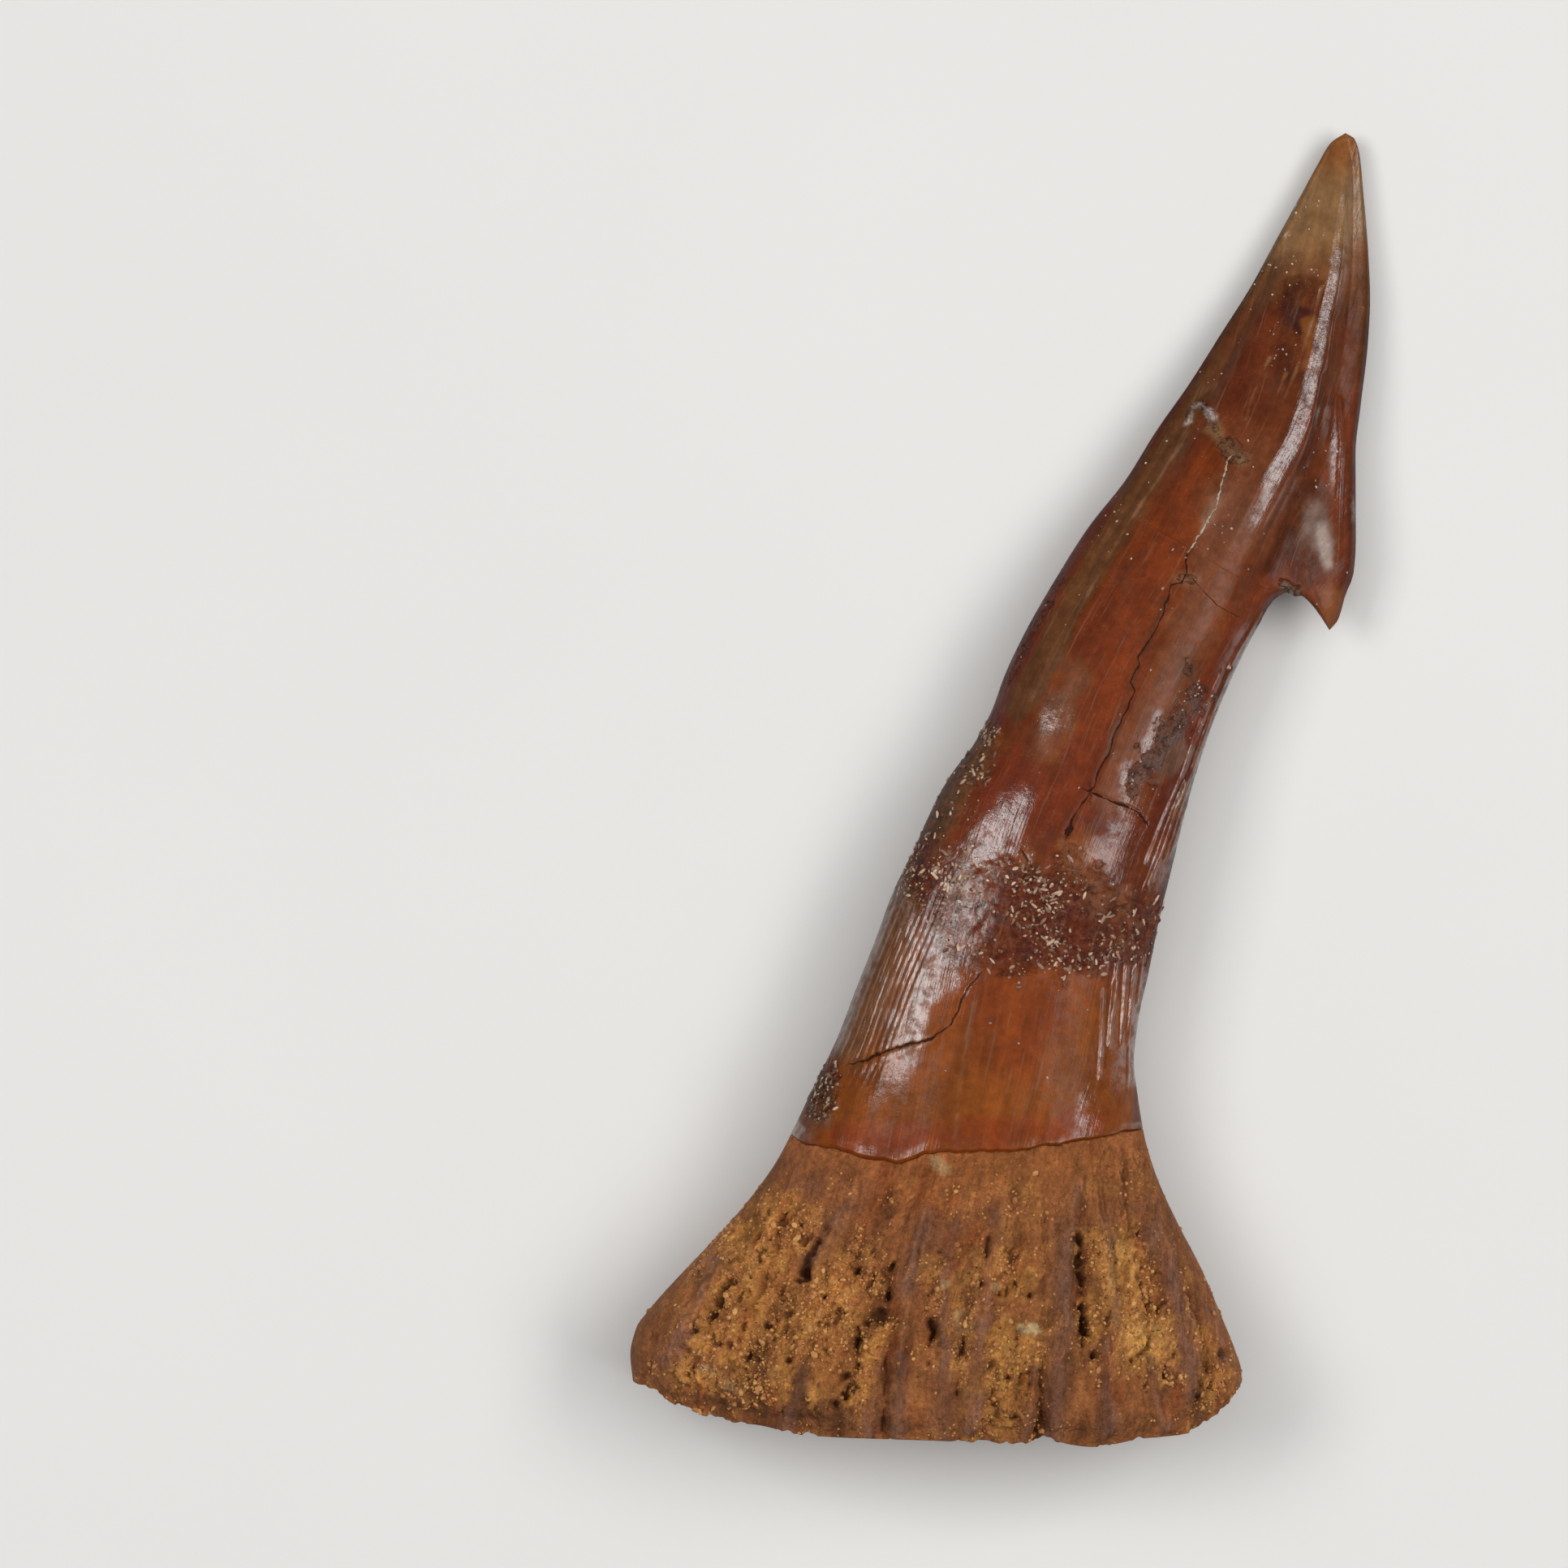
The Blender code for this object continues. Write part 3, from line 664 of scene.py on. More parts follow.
    def fields(self, patch: Patch) -> dict[str, Field]:
        """Work out the relief and what goes with it.

        Args:
            patch: The root's points on one face.

        Returns:
            The fields relief, hollow, polish, grit, sand, crumb and valley.
        """
        seed = 100 if patch.is_top else 200
        x, y = self.bent(patch, seed + 7)
        wander = patch.plan_lumps(seed, 0.4, 3)
        grown = ease(1.0, 0.7, patch.s)
        smooth_band = ease(1.0, 0.8, patch.s)
        relief, flute, hollow = (np.zeros_like(patch.x) for _ in range(3))
        for mark in self.flutes:
            strength = mark.strength(x, y, wander)
            relief += grown * mark.height * strength
            flute = np.maximum(flute, strength * grown)
        fibres = Lumps(seed + 1, 0.9, 3).at(patch.fan, patch.length * 0.1)
        threads = Lumps(seed + 2, 0.3, 3).at(patch.fan, patch.length * 0.12)
        detail = grown * (self.fibre_height * fibres + self.thread_height * threads)
        detail += self.rough_height * patch.lumps(seed + 6, 1.3, 5, 0.6) * smooth_band
        relief += detail
        broken = ease(-0.75, -0.05, patch.plan_lumps(seed + 8, 0.8, 2))
        for mark in self.slits:
            strength = mark.strength(x, y, wander) * broken
            relief += mark.height * strength
            hollow = np.maximum(hollow, strength * min(1.0, -1.6 * mark.height))
        for px, py, radius in self.pits:
            strength = Mark(((px, py),), radius, 0, 0.5 * radius).strength(x, y, wander)
            relief -= self.pit_depth * strength
            hollow = np.maximum(hollow, strength)
        open_bone = smooth_band * (1 - 0.85 * ease(0.45, 0.85, flute))
        sandy = self.sandiness(patch, x, y, seed + 9) * open_bone
        pore = ease(0.58, 0.85, patch.lumps(seed + 3, 0.34, 2, 0.8)) * (0.15 + 0.85 * sandy) * smooth_band
        relief -= self.pore_depth * pore
        hollow = np.maximum(hollow, 0.65 * pore)
        crumbs = patch.lumps(seed + 4, 0.3, 3)
        flakes = patch.lumps(seed + 5, 0.75, 3, 0.7)
        relief += sandy * (self.sand_height + self.crumb_height * crumbs + self.flake_height * flakes)
        relief += self.bare_crumb_height * smooth_band * crumbs
        relief -= self.enamel_step + self.tuck_step * ease(0.995, 1.01, patch.s)
        sand = sandy * ease(-0.7, 0.3, flakes) * (1 - ease(0.3, 0.7, hollow)) * ease(0.97, 0.9, patch.s)
        low, clear, full, high = self.sand_heights
        sand = sand * ease(low, clear, patch.z) * ease(high, full, patch.z)
        return {"relief": relief, "hollow": hollow, "polish": flute, "grit": sandy, "sand": sand,
                "crumb": crumbs, "valley": ease(-0.02, -0.17, detail)}


@dataclass(frozen=True)
class Crack:
    """A hairline crack in the enamel.

    Attributes:
        path: Its points in plan.
        width: Half of its width.
        lip: How far the enamel stands up on one side of it.
        fill: How much pale calcite fills it.
        strength: How dark it is.
    """

    path: Line
    width: float = 0.028
    lip: float = 0.0
    fill: float = 0.0
    strength: float = 1.0


@dataclass(frozen=True)
class CrownRelief:
    """The crown's relief: ridges, cracks, crusts and the patch of sandy matrix.

    All heights and widths are in millimetres.
    """

    lip: float = 0.18
    lip_end: float = 1.022
    swell_height: float = 0.045
    wave_height: float = 0.01
    brush_height: float = 0.006
    keel_depth: float = 0.08
    keel_width: float = 0.14
    crack_depth: float = 0.05
    crack_crook: float = 0.07
    stria_height: float = 0.05
    stria_pitch: float = 0.26
    under_ridge_height: float = 0.05
    under_ridge_pitch: float = 0.3
    grit_height: float = 0.1
    lump_height: float = 0.09
    chunk_height: float = 0.09
    ridges: tuple[Mark, ...] = (
        Mark(((10.0, 5.2), (9.1, 3.0), (8.3, 0.7), (7.5, -1.0), (6.9, -2.8), (6.2, -4.6)), 0.08, 0.13),
        Mark(((10.4, 5.0), (9.5, 2.8), (8.6, 0.2), (7.9, -1.2), (7.3, -3.0)), 0.07, 0.11),
        Mark(((10.1, 3.6), (9.1, 1.0), (8.2, -1.4), (7.4, -4.0)), 0.065, 0.09),
        Mark(((9.6, 5.0), (8.6, 2.6), (7.9, 0.5), (7.1, -1.3), (6.3, -3.4)), 0.065, 0.08),
        Mark(((9.5, 3.5), (8.6, 1.2), (8.0, -0.4), (7.1, -3.2)), 0.06, 0.07),
        Mark(((10.7, 4.6), (9.7, 2.0), (8.9, -0.4), (8.0, -3.0)), 0.06, 0.08),
        Mark(((8.0, 0.2), (7.2, -2.0), (6.5, -4.2)), 0.06, 0.08),
        Mark(((6.6, -7.2), (6.2, -10.6)), 0.055, 0.07),
        Mark(((5.0, -7.6), (4.85, -9.8)), 0.055, 0.07),
        Mark(((11.4, 7.6), (10.4, 6.0), (9.9, 5.1)), 0.085, 0.1),
        Mark(((4.9, -8.6), (4.6, -11.4)), 0.07, 0.1),
        Mark(((5.4, -7.7), (5.15, -11.4)), 0.065, 0.1),
        Mark(((5.8, -7.3), (5.45, -11.3)), 0.06, 0.08),
        Mark(((6.2, -7.0), (5.9, -9.6)), 0.055, 0.07),
        Mark(((4.4, -9.0), (4.2, -12.8)), 0.07, 0.06),
        Mark(((5.6, -9.4), (5.45, -13.4)), 0.06, 0.06),
    )
    keel_line: Line = (
        (12.6, 24.2), (11.2, 21.4), (9.5, 17.7), (8.4, 16.7), (7.9, 15.8), (7.3, 14.9), (6.6, 13.9),
        (6.0, 12.9), (5.4, 11.8), (4.5, 10.6), (4.0, 9.6), (2.7, 6.4), (1.3, 3.6),
    )
    strips: tuple[Mark, ...] = (
        Mark(((14.1, 21.9), (13.7, 20.3), (13.1, 18.6), (12.4, 16.9)), 0.07, -0.04),
        Mark(((14.9, 17.0), (15.05, 15.2), (14.9, 13.0), (14.8, 10.0)), 0.12, 0.1),
        Mark(((14.3, 18.0), (13.9, 15.8), (13.3, 14.0)), 0.16, -0.14),
        Mark(((14.8, 20.6), (14.5, 18.2)), 0.1, -0.08),
    )
    cracks: tuple[Crack, ...] = (
        Crack(((10.08, 14.42), (9.83, 14.0), (9.69, 13.45), (9.47, 12.74), (9.4, 12.21),
               (9.12, 11.67), (8.7, 11.1), (8.12, 10.24)), 0.056, 0.02, 0.95),
        Crack(((8.12, 10.24), (7.98, 9.88), (8.05, 9.35), (7.87, 8.89), (7.41, 8.74),
               (7.26, 8.28), (7.05, 7.57), (6.69, 6.85), (6.26, 6.14), (5.91, 5.6),
               (6.01, 5.17), (5.55, 4.53), (5.73, 4.18), (5.37, 3.1), (5.01, 2.57), (4.55, 1.32),
               (4.12, 0.61), (3.94, -0.11), (3.59, -0.57), (3.23, -1.18), (2.98, -1.71),
               (2.87, -2.07)), 0.026, 0.03, 0.0, 0.92),
        Crack(((2.95, -1.8), (2.85, -2.15)), 0.11),
        Crack(((8.23, 9.17), (8.76, 8.53), (9.48, 7.82), (10.19, 7.49)), 0.018, 0.0, 0.0, 0.7),
        Crack(((3.77, -0.29), (4.41, -0.54), (4.84, -0.75), (5.37, -0.93), (5.91, -1.18),
               (6.33, -1.71)), 0.04, 0.03),
        Crack(((-1.05, -8.32), (-1.41, -8.74), (-1.77, -9.21), (-2.02, -9.92), (-2.3, -10.46),
               (-3.02, -10.89)), 0.032, 0.08, 0.0, 0.9),
        Crack(((-3.02, -10.89), (-3.09, -10.99), (-4.09, -11.28), (-4.8, -11.53), (-5.34, -11.78),
               (-6.05, -12.06), (-6.51, -12.17)), 0.06, 0.12),
        Crack(((0.9, -3.0), (1.2, -3.6), (0.8, -4.2)), 0.04, 0.0, 0.0, 0.8),
    )
    crusts: tuple[Mark, ...] = (
        Mark(((8.15, 5.25), (8.15, 4.9)), 0.28, 0.12, 0.2),
        Mark(((8.58, 3.82), (7.9, 3.1), (7.33, 2.39), (6.5, 1.3), (5.73, 0.25)), 0.46, 0.01, 0.6),
        Mark(((8.25, 16.0), (8.4, 16.7), (8.85, 16.75), (9.25, 16.2), (9.45, 15.5)), 0.15, 0.14, 0.1),
        Mark(((9.6, 15.0), (10.5, 14.4)), 0.26, 0.05, 0.3),
        Mark(((-7.7, -12.7), (-8.0, -14.2)), 0.5, 0.24, 0.3),
        Mark(((0.3, 4.6), (1.4, 6.9), (2.6, 8.9)), 0.22, 0.1, 0.15),
        Mark(((12.35, 8.9), (13.0, 8.55)), 0.22, 0.14, 0.08),
        Mark(((7.8, 9.1), (8.3, 9.0)), 0.16, 0.02, 0.1),
    )
    margin: Line = ((-0.9, 2.0), (-1.9, 0.4), (-2.7, -1.2), (-3.3, -2.8), (-4.2, -4.4))
    margin_reach: float = 0.85
    patch_ceiling: Line = (
        (-4.4, -3.4), (-3.2, -3.2), (-1.4, -2.8), (0.4, -3.3), (2.0, -3.3), (2.9, -2.6), (3.9, -3.9),
        (5.2, -4.4), (6.5, -4.9))
    patch_floor: Line = ((-3.6, -6.4), (-2.4, -7.6), (-1.2, -8.3), (1.4, -8.3), (3.8, -8.3), (6.4, -7.6))

    def patch_cover(self, patch: Patch, wander: Field) -> Field:
        """Tell how much sandy matrix covers each place: the patch, and the rough left margin.

        Args:
            patch: The crown's points.
            wander: An uneven field for the edge.

        Returns:
            Shares from 0 to 1.
        """
        x, y = patch.x, patch.y
        ceiling = np.interp(x, *zip(*self.patch_ceiling))
        floor = np.interp(x, *zip(*self.patch_floor))
        inside = np.minimum(np.minimum(ceiling - y, y - floor), 1.4 * (x + 4.4)) + 0.75 * wander
        cover = ease(-0.45, 0.9, inside)
        beside = line_distance(x, y, self.margin) + 0.6 * wander
        margin = ease(self.margin_reach + 0.3, self.margin_reach - 0.4, beside)
        return np.maximum(cover, margin) * patch.shown

    def crack_fields(self, patch: Patch) -> dict[str, Field]:
        """Measure the signed distance to the nearest crack, in its half widths, and what it is like.

        Args:
            patch: The crown's points.

        Returns:
            The fields crack, crack_near, crack_fill and crack_lip.
        """
        nearest = np.full_like(patch.x, 60.0)
        fields = {name: np.zeros_like(patch.x) for name in ("crack_near", "crack_fill", "crack_lip")}
        if not patch.is_top:
            return {"crack": nearest, **fields}
        crooked = self.crack_crook * patch.plan_lumps(77, 0.7, 3)
        for crack in self.cracks:
            signed = signed_distance(patch.x + crooked, patch.y - crooked, crack.path)
            near = ease(0.45, 0.2, np.abs(signed))
            closer = np.abs(signed) / crack.width < np.abs(nearest)
            for name, value in (("crack_near", crack.strength), ("crack_fill", crack.fill)):
                fields[name] = np.where(closer, value * near, fields[name])
            fields["crack_lip"] += crack.lip * ease(0.0, 0.07, signed) * np.exp(-(signed / 0.22) ** 2)
            nearest = np.where(closer, signed / crack.width, nearest)
        return {"crack": nearest, **fields}

    def matrix_relief(self, patch: Patch, rough: Field, seed: int) -> Field:
        """Give the sandy matrix's lumps, which are low where it is polished, on the left.

        Args:
            patch: The crown's points on one face.
            rough: The fine lumps of all crusts.
            seed: The seed of the coarser lumps.

        Returns:
            The heights where the matrix is whole.
        """
        lumpy = patch.lumps(seed, 0.75, 3)
        chunks = ease(-0.25, 0.35, patch.lumps(seed + 1, 0.42, 2))
        coarse = 0.12 + 0.88 * ease(-2.0, 0.6, patch.x)
        height = self.grit_height * rough + self.lump_height * lumpy + self.chunk_height * chunks
        return coarse * height

    def fields(self, patch: Patch) -> dict[str, Field]:
        """Work out the relief and what goes with it.

        Args:
            patch: The crown's points on one face.

        Returns:
            The relief and the fields of the cracks, the crusts and the matrix.
        """
        seed = 300 if patch.is_top else 400
        x, y, shown = patch.x, patch.y, patch.shown
        wander = patch.lumps(seed, 0.6, 4)
        relief = self.swell_height * patch.lumps(seed + 1, 3.2, 2, 0.8)
        relief += self.wave_height * patch.lumps(seed + 2, 0.8, 3, 0.5)
        relief += self.brush_height * patch.lumps(seed + 3, 0.3, 2, 0.08)
        relief += self.left_striae(patch, seed + 5)
        if not patch.is_top:
            relief += self.under_ridges(patch)
        for mark in self.ridges + self.strips:
            relief += mark.height * mark.strength(x, y, wander * 0.3) * shown
        keel = line_distance(x, y, self.keel_line)
        relief -= self.keel_depth * np.exp(-(keel / self.keel_width) ** 2) * shown
        cracks = self.crack_fields(patch)
        relief += cracks.pop("crack_lip")
        relief -= self.crack_depth * np.exp(-(cracks["crack"] / 2.2) ** 2) * cracks["crack_near"]
        rough = patch.lumps(seed + 4, 0.28, 3)
        crust = np.zeros_like(x)
        for mark in self.crusts:
            strength = mark.strength(x, y, wander) * shown
            relief += mark.height * strength * (0.6 + 1.4 * rough)
            crust = np.maximum(crust, strength)
        matrix = self.patch_cover(patch, wander)
        relief += matrix * self.matrix_relief(patch, rough, seed + 6)
        relief -= self.lip * (1 - ease(1.0, self.lip_end, patch.s)) ** 2
        return {"relief": relief, **cracks, "crust": crust, "matrix": matrix}

    def left_striae(self, patch: Patch, seed: int) -> Field:
        """Give the fine grooves down beside the left edge, above the root.

        Args:
            patch: The crown's points on one face.
            seed: The seed of their drift.

        Returns:
            The heights.
        """
        beside = tuple(point for point in Outline().left_edge if -16 < point[1] < 3)
        near_left = line_distance(patch.x, patch.y, beside)
        drift = 1.5 * Lumps(seed, 2.5, 2).at(patch.length, near_left)
        zone = ease(2.6, 1.8, near_left) * ease(-14.0, -12.0, patch.y) * ease(-2.8, -5.0, patch.y)
        return self.stria_height * np.cos(near_left * 2 * math.pi / self.stria_pitch + drift) * zone

    def under_ridges(self, patch: Patch) -> Field:
        """Give the underside's fine ridges down its barbed flank.

        Args:
            patch: The crown's points on the underside.

        Returns:
            The heights.
        """
        shaft = ease(1.3, 2.0, patch.s) * ease(7.0, 6.0, patch.s)
        flank = ease(0.74, 0.8, patch.q) * ease(0.99, 0.95, patch.q)
        waves = np.cos(patch.girth * 2 * math.pi / self.under_ridge_pitch)
        return self.under_ridge_height * shaft * flank * waves


@dataclass(frozen=True)
class Tint:
    """A patch of colour, or of gloss.

    Attributes:
        value: The colour, as linear red, green and blue, or the gloss.
        path: The line in plan that it lies along.
        reach: Half of its width.
        soft: How wide its edge is.
        strength: How much of what lies below it covers.
        ragged: How much its edge wanders.
    """

    value: Colour | float
    path: Line
    reach: float
    soft: float = 0.5
    strength: float = 1.0
    ragged: float = 0.4

    def lay(self, below: Field, patch: Patch, wander: Field) -> Field:
        """Lay it over what is below.

        Args:
            below: The colours or the gloss so far.
            patch: The places.
            wander: An uneven field for the edge.

        Returns:
            The new colours or gloss.
        """
        distance = line_distance(patch.x, patch.y, self.path) + self.ragged * wander
        cover = self.strength * ease(self.reach + self.soft, self.reach - self.soft, distance)
        return blend(below, self.value, cover * patch.shown)


@dataclass(frozen=True)
class CrownColours:
    """The enamel's colours, from the pale tip to the orange band above the root."""

    steps: tuple[tuple[float, Colour], ...] = (
        (-17.0, (0.19, 0.044, 0.01)), (-14.5, (0.19, 0.052, 0.012)), (-9.0, (0.175, 0.044, 0.01)),
        (-5.0, (0.13, 0.034, 0.011)), (0.0, (0.12, 0.024, 0.007)), (6.0, (0.14, 0.03, 0.008)),
        (12.0, (0.132, 0.032, 0.012)), (17.0, (0.108, 0.029, 0.014)), (21.0, (0.1, 0.028, 0.012)),
        (22.6, (0.15, 0.055, 0.024)),
    )
    tints: tuple[Tint, ...] = (
        Tint((0.165, 0.034, 0.007), ((9.2, 14.6), (7.0, 9.5), (4.6, 4.2), (2.6, -0.4)), 0.9, 0.8, 0.75),
        Tint((0.165, 0.062, 0.034), ((9.9, 12.4), (9.2, 9.0), (7.8, 5.6), (6.4, 2.6), (5.2, -0.4)), 1.0, 0.6,
             0.7),
        Tint((0.165, 0.062, 0.034), ((11.0, 14.5), (11.6, 11.5)), 1.2, 0.9, 0.45),
        Tint((0.1, 0.042, 0.02), ((12.4, 23.6), (9.0, 17.6), (6.2, 13.2), (3.4, 8.6), (0.8, 3.4)), 0.6, 0.18,
             0.9, 0.2),
        # Painted highlight: a pale thin line along the keel strip's inner edge.
        Tint((0.23, 0.115, 0.06), ((9.5, 17.7), (7.9, 15.0), (5.5, 11.4), (4.1, 9.0), (2.7, 6.3)), 0.01,
             0.06, 0.7, 0.12),
        Tint((0.035, 0.011, 0.006), ((12.9, 21.8), (13.3, 20.4)), 0.6, 0.5, 0.9, 0.7),
        # Painted shade: a dark band along the right edge, from the barb's notch down the flank.
        Tint((0.06, 0.018, 0.009), ((12.2, 8.0), (10.2, 5.0), (8.2, -0.6), (7.0, -5.4)), 0.38, 0.25, 0.75,
             0.2),
        Tint((0.06, 0.017, 0.008), ((12.3, 19.2), (12.6, 18.2)), 0.4, 0.4, 0.7),
        Tint((0.2, 0.065, 0.02), ((13.7, 20.4), (13.5, 18.6)), 0.2, 0.2, 0.8),
        Tint((0.135, 0.028, 0.014), ((11.2, 20.2), (10.4, 17.2)), 0.9, 0.7, 0.5),
        Tint((0.105, 0.052, 0.034), ((8.15, 5.2), (8.15, 4.9)), 0.35, 0.3, 0.8),
        Tint((0.08, 0.028, 0.017), ((8.4, 3.8), (7.3, 2.3), (6.0, 0.6)), 0.5, 0.4, 0.75, 0.8),
        Tint((0.18, 0.095, 0.066), ((8.8, 2.9), (7.8, 1.6), (6.7, 0.2)), 0.12, 0.2, 0.5, 0.6),
        Tint((0.12, 0.052, 0.02), ((-0.9, 2.0), (-1.9, 0.4), (-2.7, -1.2), (-3.6, -3.2), (-4.6, -5.2)), 0.7,
             0.5, 0.85),
        Tint((0.1, 0.022, 0.008), ((-3.4, -4.4), (1.0, -5.6), (5.6, -6.6)), 1.9, 0.8, 0.92, 0.9),
        Tint((0.075, 0.016, 0.008), ((-2.4, -7.4), (1.5, -7.6), (5.2, -7.6)), 0.5, 0.5, 0.7, 0.7),
        # Partly the matrix's pale crumbs, partly a painted highlight on its polished left part.
        Tint((0.24, 0.15, 0.095), ((-1.0, -3.2), (-1.7, -4.6)), 0.3, 0.35, 0.4, 0.9),
        Tint((0.23, 0.085, 0.042), ((2.6, -2.7), (3.4, -3.9), (4.6, -5.4), (5.2, -6.6)), 0.35, 0.4, 0.55,
             1.0),
        Tint((0.2, 0.07, 0.03), ((0.6, -3.4), (2.6, -3.6)), 0.35, 0.4, 0.5, 0.9),
        # Partly a pale crust, partly a painted highlight over the polished left of the matrix.
        Tint((0.31, 0.195, 0.165), ((-1.2, -3.4), (-2.0, -5.2), (-3.0, -7.0)), 0.45, 0.45, 0.38, 1.1),
        Tint((0.2, 0.05, 0.012), ((3.4, -1.9), (3.7, -3.2)), 0.35, 0.3, 0.6, 0.3),
        Tint((0.18, 0.078, 0.034), ((-4.6, -5.0), (-5.6, -8.4), (-6.8, -11.4)), 0.9, 0.6, 0.75),
        Tint((0.175, 0.078, 0.045), ((-3.6, -8.4), (-4.4, -11.0)), 0.7, 0.6, 0.6),
        Tint((0.175, 0.038, 0.007), ((-0.4, -9.4), (1.8, -10.0), (0.4, -12.4)), 1.4, 0.9, 0.85),
        Tint((0.205, 0.06, 0.014), ((-1.2, -13.4), (2.2, -13.6), (3.4, -10.4)), 0.9, 0.9, 0.55),
        Tint((0.19, 0.036, 0.007), ((-6.8, -15.4), (-1.6, -15.3), (1.6, -14.9), (4.0, -14.8)), 0.5, 0.4,
             0.75),
        Tint((0.1, 0.052, 0.032), ((-8.0, -13.0), (-8.1, -14.4)), 0.5, 0.3, 0.8),
        Tint((0.15, 0.044, 0.013), ((-5.4, -13.0), (-3.2, -13.8)), 0.9, 0.8, 0.6),
        Tint((0.07, 0.022, 0.012), ((13.6, 12.6), (13.2, 9.4)), 0.8, 0.4, 0.75, 0.4),
        # Painted highlights: a grey sheen in the barb's hollow and a whitish line at its right edge.
        Tint((0.19, 0.12, 0.092), ((13.6, 11.9), (13.9, 10.8)), 0.36, 0.4, 0.8, 0.5),
        Tint((0.36, 0.28, 0.24), ((14.0, 11.4), (14.4, 9.7)), 0.16, 0.16, 0.85, 0.2),
        Tint((0.06, 0.018, 0.01), ((12.5, 11.2), (12.1, 9.6)), 0.45, 0.35, 0.8),
        Tint((0.07, 0.02, 0.009), ((14.1, 17.6), (13.8, 15.0), (13.2, 13.8)), 0.2, 0.2, 0.75, 0.1),
        Tint((0.12, 0.028, 0.012), ((15.3, 17.0), (15.2, 11.0)), 0.36, 0.2, 0.8, 0.1),
        Tint((0.3, 0.098, 0.036), ((14.5, 7.0), (14.7, 8.2)), 0.45, 0.4, 0.9, 0.1),
        Tint((0.18, 0.13, 0.1), ((12.4, 8.75), (13.0, 8.5)), 0.2, 0.15, 0.9, 0.1),
        # Painted shade: a dark band along the blade's outer edge.
        Tint((0.09, 0.036, 0.013), ((16.1, 22.4), (16.1, 18.6)), 0.3, 0.3, 0.7, 0.1),
        Tint((0.56, 0.48, 0.43), ((8.25, 16.0), (8.4, 16.7), (8.85, 16.75), (9.25, 16.2)), 0.17, 0.12, 0.85,
             0.25),
        Tint((0.22, 0.12, 0.06), ((9.3, 15.6), (9.9, 14.9), (10.4, 14.3)), 0.3, 0.25, 0.8, 0.35),
        Tint((0.24, 0.16, 0.11), ((9.75, 13.5), (9.45, 12.3), (8.5, 10.8)), 0.14, 0.18, 0.5, 0.3),
        Tint((0.23, 0.11, 0.065), ((7.8, 9.1), (8.4, 9.0)), 0.3, 0.3, 0.55, 0.3),
        # Painted sheen: a paler, greyer spot where this polished patch catches the lamps.
        Tint((0.17, 0.08, 0.048), ((3.0, 4.6), (1.9, 2.2)), 0.7, 0.7, 0.5, 0.6),
        Tint((0.07, 0.032, 0.022), ((7.2, 8.2), (6.3, 6.2), (5.5, 4.0), (4.5, 1.2)), 0.12, 0.16, 0.65, 0.1),
        Tint((0.21, 0.11, 0.06), ((-1.34, -9.56), (-1.77, -12.24), (-2.02, -13.67), (-2.12, -15.45)), 0.05,
             0.07, 0.5, 0.05),
        Tint((0.22, 0.11, 0.05), ((11.8, 18.8), (11.3, 17.7), (11.0, 17.0), (10.75, 16.1)), 0.01, 0.06, 0.8,
             0.12),
        Tint((0.21, 0.09, 0.035), ((12.5, 18.1), (12.2, 17.4), (11.9, 16.7), (11.5, 15.2)), 0.01, 0.06, 0.8,
             0.12),
        Tint((0.19, 0.085, 0.034), ((14.1, 21.9), (13.7, 20.3), (13.1, 18.6), (12.4, 16.9)), 0.01, 0.06, 0.7,
             0.1),
    )
    glosses: tuple[Tint, ...] = (
        Tint(1.0, ((15.1, 24.6), (14.8, 22.7), (14.2, 20.2), (13.6, 17.8), (12.9, 15.2), (11.9, 13.4)), 0.45,
             0.3, 1.0, 0.1),
        Tint(0.8, ((12.4, 13.1), (11.5, 11.8)), 0.5, 0.4, 0.8),
        Tint(0.9, ((2.8, 4.0), (2.0, 2.5)), 0.45, 0.35, 0.9, 0.5),
        Tint(1.0, ((0.7, -0.7), (-0.25, -2.8)), 0.85, 0.15, 1.0, 0.15),
        Tint(1.0, ((-0.4, -3.4), (-3.0, -7.6)), 1.8, 0.5, 1.0, 0.6),
        Tint(1.0, ((-3.3, -8.6), (-4.1, -10.2), (-4.6, -12.2)), 0.7, 0.3, 0.9, 0.4),
        Tint(0.62, ((6.0, -0.7), (4.65, -3.7)), 0.95, 0.35, 1.0, 0.6),
        Tint(0.9, ((4.3, -12.0), (3.8, -15.2)), 0.55, 0.3, 0.9, 0.3),
        Tint(0.7, ((-5.8, -13.2), (-4.6, -12.2)), 0.8, 0.4, 0.9, 0.5),
        Tint(0.8, ((8.2, 3.6), (7.3, 2.1), (5.9, 0.4)), 0.8, 0.3, 0.9, 0.5),
        Tint(0.8, ((10.8, 6.2), (8.6, 1.0), (6.4, -4.0)), 0.8, 0.3, 0.9, 0.2),
        Tint(0.9, ((5.4, -7.4), (5.2, -12.4)), 0.9, 0.3, 0.9, 0.2),
        Tint(0.7, ((-5.0, -5.0), (-6.6, -11.0)), 1.0, 0.5, 0.9, 0.2),
        Tint(0.9, ((14.2, 16.4), (15.2, 12.0)), 0.3, 0.2, 0.8, 0.2),
    )
    plain_gloss: float = 0.26
    under_gloss: float = 0.6
    tip_gloss: float = 0.5
    matrix_gloss: float = 0.4
    edge_gloss: float = 0.6
    # How much painted shade darkens the colours at both side edges.
    painted_rim_shade: float = 0.45
    streak_shade: float = 0.12
    # The colour of the painted highlights along the flank ridges' crests.
    ridge_highlight_colour: Colour = (0.33, 0.18, 0.11)
    room: Colour = (0.004, 0.008, 0.01)
    tip_colour: Colour = (0.225, 0.085, 0.028)
    beige: Colour = (0.225, 0.118, 0.05)
    tip_start: float = 27.3
    beige_start: float = 23.2

